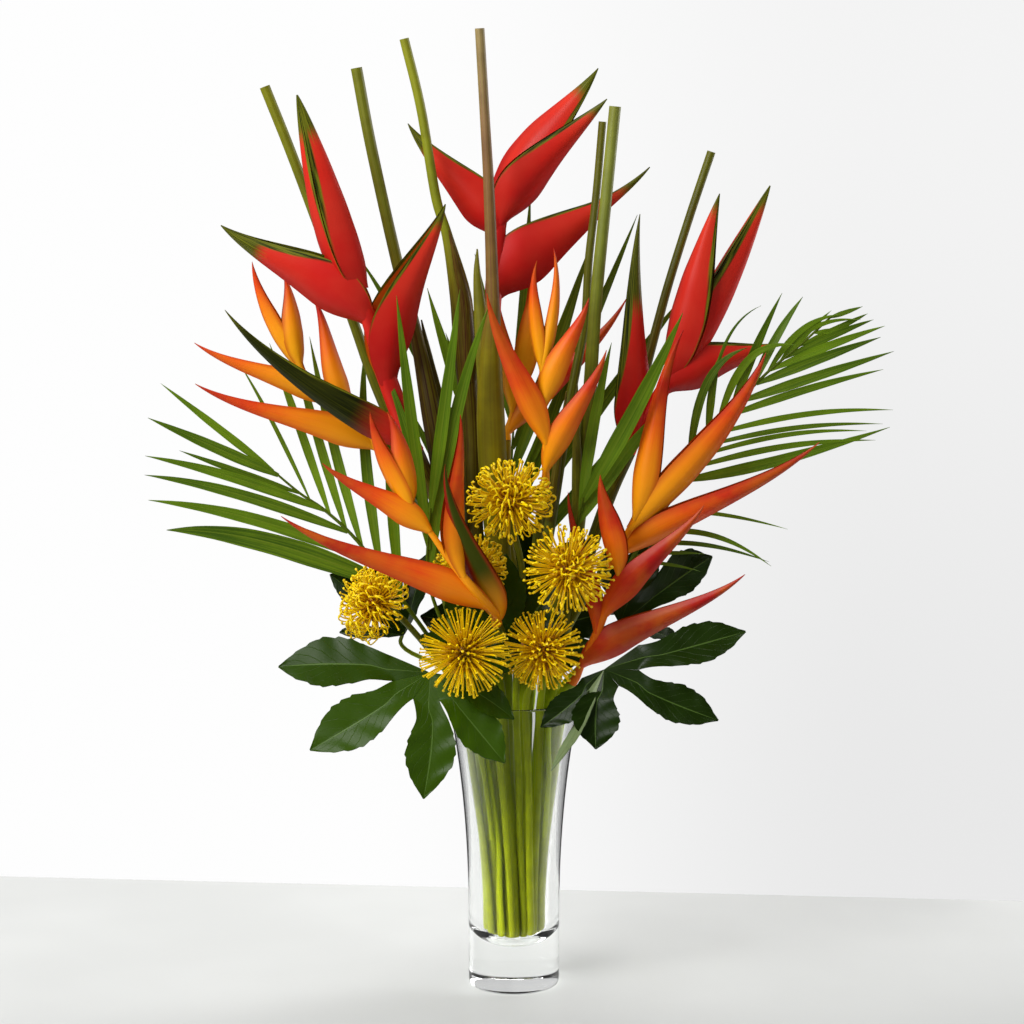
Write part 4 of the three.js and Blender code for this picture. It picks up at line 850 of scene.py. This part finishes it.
class Web:
    """A node tree, with short words for the sums and mixes that the finishes are made of."""

    def __init__(self, tree):
        self.tree = tree

    def link(self, output, socket):
        self.tree.links.new(output, socket)

    def feed(self, socket, value):
        if isinstance(value, bpy.types.NodeSocket):
            self.link(value, socket)
        else:
            socket.default_value = value

    def add(self, kind, feeds=None, **settings):
        """A node with its settings, fed by plain values or by other nodes' sockets."""
        made = self.tree.nodes.new(kind)
        for key, value in settings.items():
            setattr(made, key, value)
        for socket, value in (feeds or {}).items():
            self.feed(made.inputs[socket], value)
        return made

    def calc(self, operation, *values):
        return self.add("ShaderNodeMath", dict(enumerate(values)), operation=operation).outputs[0]

    def times(self, a, b):
        return self.calc("MULTIPLY", a, b)

    def plus(self, a, b):
        return self.calc("ADD", a, b)

    def less(self, a, b):
        return self.calc("SUBTRACT", a, b)

    def scaled(self, value, by, onto):
        return self.calc("MULTIPLY_ADD", value, by, onto)

    def stepped(self, value, low, high):
        """0 below low, 1 above high, and a smooth turn between them."""
        return self.add("ShaderNodeMapRange", {"Value": value, "From Min": low, "From Max": high},
                        interpolation_type="SMOOTHSTEP").outputs[0]

    def mixed(self, factor, a, b):
        """Colour a turning to colour b. Colours are hex or sockets."""
        a, b = ((*linear(c), 1) if isinstance(c, str) else c for c in (a, b))
        return self.add("ShaderNodeMix", {0: factor, 6: a, 7: b}, data_type="RGBA").outputs[2]

    def tinted(self, body, colour, mask, strength):
        """The body with so much of the colour laid over it where the mask is."""
        return self.mixed(self.times(mask, strength), body, colour)

    def ramp(self, factor, stops):
        made = self.add("ShaderNodeValToRGB", {0: factor})
        elements = made.color_ramp.elements
        while len(elements) < len(stops):
            elements.new(0.5)
        for element, (place, colour) in zip(elements, stops):
            element.position = place
            element.color = (*linear(colour), 1)
        return made.outputs[0]

    def split(self, vector):
        return self.add("ShaderNodeSeparateXYZ", {0: vector}).outputs

    def uv(self):
        return self.split(self.add("ShaderNodeUVMap").outputs[0])

    def own_place(self):
        return self.add("ShaderNodeTexCoord").outputs["Object"]

    def noise(self, place, scale, **feeds):
        feeds = {"Vector": place, "Scale": scale, "Detail": 3.0, **feeds}
        return self.add("ShaderNodeTexNoise", feeds).outputs[0]


class Effect(Web):
    """A node group with named number inputs and outputs, for more than one finish."""

    def __init__(self, name, inputs, outputs):
        super().__init__(bpy.data.node_groups.new(name, "ShaderNodeTree"))
        sockets = self.tree.interface
        for label, default in inputs.items():
            sockets.new_socket(label, in_out="INPUT", socket_type="NodeSocketFloat").default_value = default
        for label in outputs:
            sockets.new_socket(label, in_out="OUTPUT", socket_type="NodeSocketFloat")
        self.given = self.add("NodeGroupInput").outputs

    def gives(self, *values):
        self.add("NodeGroupOutput", dict(enumerate(values)))
        return self.tree


def blade_places():
    """Where on a folded blade a point is: along it, from keel to edge, and whether on the inner face."""
    made = Effect("blade places", {}, ("Along", "Keel To Edge", "Inside"))
    uv = made.uv()
    edge = made.calc("ABSOLUTE", made.scaled(made.calc("PINGPONG", uv[1], 0.5), 4.0, -1.0))
    return made.gives(uv[0], edge, made.calc("GREATER_THAN", uv[1], 0.5))


def fibres():
    """Fine streaks along a blade or stalk, in its own UV map."""
    made = Effect("fibres", {"Across": 60, "Length": 3}, ("Streak",))
    uv = made.uv()
    place = made.add("ShaderNodeCombineXYZ", {0: made.times(uv[0], made.given[1]),
                                              1: made.times(uv[1], made.given[0])}).outputs[0]
    return made.gives(made.noise(place, 1.0))


def mottling():
    """Soft cloudy patches in the piece's own space."""
    made = Effect("mottling", {"Scale": 30}, ("Patch",))
    cloud = made.noise(made.own_place(), made.given[0], Roughness=0.55)
    return made.gives(made.stepped(cloud, 0.32, 0.68))


EFFECTS = {"places": blade_places(), "fibres": fibres(), "mottling": mottling()}


class Finish(Web):
    """A material being built: its tree, its shader, and the piece's own readings."""

    def __init__(self, name):
        self.material = bpy.data.materials.new(name)
        self.material.use_nodes = True
        super().__init__(self.material.node_tree)
        self.shader = self.tree.nodes["Principled BSDF"]

    def effect(self, name, **feeds):
        return self.add("ShaderNodeGroup", feeds, node_tree=EFFECTS[name]).outputs

    def fibres(self, across, length):
        return self.effect("fibres", Across=across, Length=length)[0]

    def mottling(self, scale):
        return self.effect("mottling", Scale=scale)[0]

    def growth(self):
        return self.split(self.add("ShaderNodeAttribute", attribute_name="growth").outputs["Vector"])

    def tone(self):
        return self.add("ShaderNodeAttribute", attribute_name="tone").outputs["Color"]

    def blade(self, growth):
        """Along, keel to edge, inside, and whether the piece is a bract at all and not its stalk."""
        along, edge, inside = self.effect("places")
        leafy = self.calc("GREATER_THAN", growth[1], 0.01)
        along = self.scaled(self.less(along, 0.25), leafy, 0.25)
        return along, edge, self.times(inside, leafy), leafy

    def set(self, **values):
        for label, value in values.items():
            self.feed(self.shader.inputs[label.replace("_", " ")], value)

    def waxy(self, body, roughness, gloss=0.2):
        """A plant's skin: its own colour with a soft, weak shine."""
        self.set(Base_Color=body, Roughness=roughness, Specular_IOR_Level=gloss)
        return self.material

    def bump(self, height, strength, distance):
        made = self.add("ShaderNodeBump", {"Height": height, "Strength": strength, "Distance": distance})
        self.set(Normal=made.outputs[0])


def glass_finish():
    """Clear glass that lets the lamps' light straight through to what stands in it."""
    made = Finish("clear glass")
    made.set(Base_Color=(0.98, 0.99, 0.985, 1), Roughness=0.0, IOR=1.5, Transmission_Weight=1.0,
             Specular_IOR_Level=0.12)
    shadow = made.add("ShaderNodeBsdfTransparent", {"Color": (0.97, 0.98, 0.97, 1)})
    light = made.add("ShaderNodeLightPath").outputs
    blend = made.add("ShaderNodeMixShader", {0: light["Is Shadow Ray"], 1: made.shader.outputs[0],
                                             2: shadow.outputs[0]})
    made.link(blend.outputs[0], made.tree.nodes["Material Output"].inputs[0])
    return made.material


def red_finish():
    """Red, with green along the tips and edges, orange inside the fold, painted lighter there against the
    fold's shade, and a few bracts olive all over.
    """
    made = Finish("red bract")
    growth = made.growth()
    along, edge, inside, leafy = made.blade(growth)
    streak, patch = made.fibres(90, 4), made.mottling(16)
    body = made.ramp(along, [(0, "#A60A0C"), (0.25, "#C21410"), (0.6, "#D02014"), (0.9, "#D8361E")])
    body = made.tinted(body, "#D0402A", patch, 0.35)
    body = made.tinted(body, "#8A0408", made.stepped(edge, 0.35, 0.0), 0.4)
    olive = made.mixed(made.stepped(streak, 0.35, 0.65), "#141A00", "#343800")
    body = made.tinted(body, olive, growth[2], made.stepped(along, 0.16, 0.4))
    # Inside the fold: its own orange, partly painted light, made lighter than it is to make up for the shade
    # in the fold.
    body = made.tinted(body, "#D87018", inside, 0.8)
    green = made.mixed(made.stepped(streak, 0.38, 0.62), "#1E2A02", "#6E7010")
    wander = made.scaled(streak, 0.12, -0.06)
    tip = made.stepped(made.plus(along, wander), made.less(0.96, growth[0]), made.less(1.06, growth[0]))
    line = made.less(1.0, made.times(growth[1], made.stepped(along, 0.2, 0.7)))
    ragged = made.plus(edge, made.times(wander, 0.4))
    band = made.stepped(ragged, made.less(line, 0.03), made.plus(line, 0.02))
    body = made.mixed(made.calc("MAXIMUM", tip, made.times(band, leafy)), body, green)
    made.bump(streak, 0.1, 0.0006)
    return made.waxy(body, made.scaled(streak, 0.2, 0.3))


def orange_finish():
    """Yellow to orange to red from base to tip, darker along keel and edges, and a few bracts olive."""
    made = Finish("orange bract")
    growth = made.growth()
    along, edge, inside, leafy = made.blade(growth)
    streak, patch = made.fibres(70, 4), made.mottling(26)
    shifted = made.plus(along, made.scaled(growth[0], 0.7, -0.3))
    shifted = made.plus(shifted, made.scaled(streak, 0.16, -0.08))
    body = made.ramp(shifted, [(0, "#F0A60C"), (0.25, "#F2960C"), (0.45, "#EC780A"), (0.6, "#E04E0C"),
                               (0.74, "#CC2810"), (0.94, "#AA1610")])
    body = made.tinted(body, "#DE8A10", patch, 0.3)
    body = made.tinted(body, "#AC1A08", made.stepped(edge, 0.76, 1.0), 0.6)
    body = made.tinted(body, "#B4260A", made.stepped(edge, 0.25, 0.0), made.times(leafy, 0.5))
    olive = made.mixed(made.stepped(edge, 0.25, 0.5), "#8A1408", "#3E4602")
    olive = made.mixed(made.stepped(edge, 0.86, 1.0), olive, "#8A2A08")
    body = made.tinted(body, olive, growth[2], made.stepped(along, 0.16, 0.45))
    body = made.tinted(body, "#DC6A0C", inside, 0.35)
    made.bump(streak, 0.1, 0.0006)
    return made.waxy(body, made.scaled(streak, 0.2, 0.3))


def stalk_finish():
    """The stalk's own tone with paler fibres and brown clouds, and a dry cut face at the ends."""
    made = Finish("waxy stalk")
    streak, patch, tone = made.fibres(34, 6), made.mottling(45), made.tone()
    body = made.mixed(made.stepped(streak, 0.3, 0.7), tone, made.mixed(0.35, tone, "#98980E"))
    body = made.tinted(body, "#2E1C06", patch, 0.22)
    faces = made.split(made.add("ShaderNodeNewGeometry").outputs["Normal"])[2]
    cut = made.stepped(made.calc("ABSOLUTE", faces), 0.86, 0.94)
    body = made.mixed(cut, body, made.mixed(patch, "#9C9440", "#6A5E20"))
    made.bump(streak, 0.15, 0.0008)
    return made.waxy(body, made.scaled(streak, 0.25, 0.28), 0.3)


def pincushion_finish():
    """Styles brown at the foot and bright at the knob, and darker curls on the core."""
    made = Finish("pincushion yellow")
    along, growth, patch = made.effect("places")[0], made.growth(), made.mottling(120)
    style = made.ramp(along, [(0, "#B07804"), (0.16, "#E0B004"), (0.45, "#FAD400"), (0.84, "#FFE000"),
                              (0.92, "#FFE63A")])
    style = made.tinted(style, "#F0C404", growth[1], 0.3)
    body = made.mixed(growth[0], style, made.mixed(growth[1], "#A86A04", "#E8B808"))
    body = made.mixed(growth[2], body, "#3C3802")
    body = made.tinted(body, "#A86A02", patch, 0.15)
    return made.waxy(body, made.scaled(patch, 0.15, 0.3))


def palm_finish():
    """Satin green with pleats along the leaflet and a paler middle rib. The rachis keeps its own tone."""
    made = Finish("palm green")
    growth, edge = made.growth(), made.effect("places")[1]
    streak, patch = made.fibres(22, 2), made.mottling(22)
    body = made.mixed(growth[0], "#38540A", "#60800C")
    body = made.tinted(body, "#7E9A16", made.stepped(streak, 0.35, 0.7), 0.5)
    body = made.tinted(body, "#223A02", patch, 0.25)
    body = made.tinted(body, "#6E8020", made.stepped(edge, 0.1, 0.03), 0.6)
    body = made.mixed(growth[2], body, made.tone())
    made.bump(streak, 0.3, 0.0006)
    return made.waxy(body, made.scaled(streak, 0.2, 0.34), 0.16)


def leaf_finish():
    """Glossy dark green with a pale middle rib and slanting veins, and painted light: a lighter green on the
    lit leaves. A lobe that is turned over is greyer.
    """
    made = Finish("glossy leaf")
    growth, uv, patch = made.growth(), made.uv(), made.mottling(26)
    hand = made.calc("ABSOLUTE", made.scaled(uv[1], 2.0, -1.0))
    slant = made.scaled(uv[0], 10.0, made.times(hand, -2.6))
    vein = made.calc("ABSOLUTE", made.less(made.calc("FRACT", slant), 0.5))
    veins = made.times(made.stepped(vein, 0.46, 0.5), made.stepped(hand, 0.95, 0.6))
    rib = made.stepped(hand, 0.05, 0.02)
    body = made.mixed(patch, "#0A1800", "#142800")
    # Painted light: a lighter green where the light falls on a leaf.
    body = made.tinted(body, "#3C5A04", growth[0], 0.8)
    body = made.mixed(growth[1], body, "#74845A")
    body = made.tinted(body, "#3C5410", veins, 0.3)
    body = made.tinted(body, "#5C7834", rib, 0.55)
    body = made.mixed(growth[2], body, made.tone())
    sunk = made.times(made.calc("MAXIMUM", veins, rib), -1.0)
    made.bump(made.plus(sunk, made.times(patch, 0.4)), 0.35, 0.0012)
    return made.waxy(body, made.scaled(patch, 0.12, 0.27), 0.17)


# ---------------------------------------------------------------- the arrangement

RED_WAX, ORANGE_WAX, STALK_WAX = red_finish(), orange_finish(), stalk_finish()
YELLOW, PALM, LEAF = pincushion_finish(), palm_finish(), leaf_finish()

stems = settle_stems()
vase(glass_finish())
for name in PLANTS:
    gather(f"{name}_stems", plant(name, stems[name]), f"{name}_stalk", "stalk", STALK_WAX)
for name, (kind, axis_points, bracts) in BLOOMS.items():
    below = PLANTS[name]["flower_stalk"]
    below = below[-2] if len(below) > 1 else stems[name][-1]
    slot, wax = ("red_bract", RED_WAX) if name.startswith("red") else ("orange_bract", ORANGE_WAX)
    gather(f"{name}_flower", bloom(kind, axis_points, bracts, below), f"{name}_bloom", slot, wax)
for seed, (name, (centre, faces, reach, hook, dark, route)) in enumerate(PINCUSHIONS.items()):
    gather(f"{name}_flower", pincushion_head(seed + 11, centre, faces, reach, hook, dark), f"{name}_head",
           "pincushion", YELLOW)
    way = unit(vec(faces))
    end = np.array(centre) - (17 + PIECE_GAP) * way
    way_up = [*stems[name], *((*p, 3.2) for p in (*route, end - 12 * way, end))]
    gather(f"{name}_stalk", [stalk(way_up, 50, 12, (1, 0, 0), tone=by_height(IN_VASE + PINCUSHION_TONES))],
           f"{name}_stem", "stalk", STALK_WAX)
for seed, (name, (rachis, leaflets)) in enumerate(FRONDS.items()):
    gather(f"{name}_frond", frond(seed + 31, stems[name], rachis, leaflets), name, "palm", PALM)
chance = np.random.default_rng(51)
for name, blades in LEAVES.items():
    parts = [part for hub, faces, tips in blades
             for part in leaf(chance, stems[name], hub, faces, tips, PAINTED_LIGHT_LEAVES.get(name, 0.2))]
    gather(f"{name}_blade", parts, name, "leaf", LEAF)
for spare in BLANKS.values():
    bpy.data.objects.remove(spare)

# ---------------------------------------------------------------- the stage, lights and camera

FLOOR_BACK = ((-0.75, 0.397), (0.75, 0.27))  # the table's back edge, left and right of the vase
FLOOR_SIZE, FLOOR_THICKNESS, FLOOR_DROP = 6.0, 0.06, 0.0003
CAMERA_PLACE, CAMERA_TILT = (-0.002, -2.7, 0.9), 8.67  # in metres, and degrees down from level
FOCAL_PIXELS, PHOTO_PIXELS = 2729, 1024
SENSOR = 36
LAMPS_AIM = (0, 0, 0.5)
scene = bpy.context.scene
scene.view_settings.view_transform = "Standard"


def table_top():
    bpy.ops.object.select_all(action="DESELECT")
    (x0, y0), (x1, y1) = FLOOR_BACK
    slope = math.atan2(y1 - y0, x1 - x0)
    middle_y = (y0 + y1) / 2 - FLOOR_SIZE / 2 / math.cos(slope)
    bpy.ops.mesh.primitive_cube_add(size=1, location=(0, middle_y, -FLOOR_DROP - FLOOR_THICKNESS / 2))
    floor = bpy.context.object
    floor.name = "table_top"
    floor.scale = (FLOOR_SIZE, FLOOR_SIZE, FLOOR_THICKNESS)
    floor.rotation_euler = (0, 0, slope)
    bpy.ops.object.transform_apply(location=True, rotation=True, scale=True)
    made = Finish("pale table")
    across, depth, _ = made.split(made.own_place())
    # Painted shade: the table is painted darker towards the front, and at the front also towards the right.
    tone = made.mixed(made.stepped(depth, -1.0, 0.4), "#A8A9A7", "#DEDFDD")
    front = made.less(1, made.stepped(depth, -0.2, 0.2))
    tone = made.tinted(tone, "#9C9D9B", made.stepped(across, -0.3, 0.7), made.times(front, 0.4))
    tone = made.tinted(tone, "#C0C1BF", made.mottling(2.5), 0.3)
    # Its part in front of the vase shows only weakly as a mirror image in the glass.
    near = made.less(1, made.stepped(depth, -0.2, -0.08))
    bounces = made.add("ShaderNodeLightPath").outputs["Glossy Depth"]
    tone = made.tinted(tone, "#202020", made.calc("GREATER_THAN", bounces, 0.5), near)
    made.set(Base_Color=tone, Roughness=0.5)
    floor.data.materials.append(made.material)


def hung(name, thing, place, turn):
    """A lamp or camera put in the scene."""
    holder = bpy.data.objects.new(name, thing)
    scene.collection.objects.link(holder)
    holder.location = place
    holder.rotation_euler = turn
    return holder


def soft_box(name, place, width, height, power):
    lamp = bpy.data.lights.new(name, "AREA")
    lamp.shape = "RECTANGLE"
    lamp.size, lamp.size_y, lamp.energy = width, height, power
    way = vec(LAMPS_AIM) - vec(place)
    hung(name, lamp, place, (math.pi - math.acos(way[2] / np.linalg.norm(way)), 0,
                             math.atan2(way[1], way[0]) - math.pi / 2))


def surroundings():
    """A white room. It is brightest to the camera, dimmer as light, and darkest as a mirror image. To the
    camera it has painted shade, darker towards the right and more so low down there. Seen through the glass,
    it is dimmer towards the viewer's side."""
    world = bpy.data.worlds.new("white studio")
    scene.world = world
    world.use_nodes = True
    made = Web(world.node_tree)
    path = made.add("ShaderNodeLightPath").outputs
    way = made.split(made.add("ShaderNodeTexCoord").outputs["Generated"])
    room = made.tree.nodes["Background"]
    room.inputs[0].default_value = (1, 1, 1, 1)
    made.link(made.scaled(path["Is Glossy Ray"], -0.26, 0.36), room.inputs[1])
    # Painted shade on the backdrop: seen straight on, darker towards the right and more so low down.
    low = made.less(1, made.stepped(way[2], -0.27, 0.02))
    fall = made.scaled(made.stepped(way[0], -0.06, 0.14), made.scaled(low, -0.09, -0.09), 0.99)
    seen = made.add("ShaderNodeBackground", {0: (1, 1, 1, 1), 1: fall})
    through_glass = made.times(made.calc("GREATER_THAN", path["Transmission Depth"], 0.5),
                               made.calc("LESS_THAN", path["Diffuse Depth"], 0.5))
    behind = made.scaled(made.stepped(way[1], -0.1, 0.3), 0.36, 0.26)
    clear = made.calc("MAXIMUM", path["Is Camera Ray"], made.times(through_glass, behind))
    blend = made.add("ShaderNodeMixShader", {0: clear, 1: room.outputs[0], 2: seen.outputs[0]})
    made.link(blend.outputs[0], made.tree.nodes["World Output"].inputs[0])


def camera():
    lens = bpy.data.cameras.new("camera")
    lens.sensor_width = SENSOR
    lens.lens = FOCAL_PIXELS / PHOTO_PIXELS * SENSOR
    lens.clip_start, lens.clip_end = 0.05, 50
    scene.camera = hung("camera", lens, CAMERA_PLACE, (math.radians(90 - CAMERA_TILT), 0, 0))


table_top()
surroundings()
soft_box("key", (-1.6, -1.4, 1.9), 1.6, 1.6, 66)
soft_box("top", (0.2, 0.9, 2.4), 1.4, 1.0, 30)
soft_box("rim", (1.9, 0.9, 1.0), 0.7, 1.6, 24)
camera()
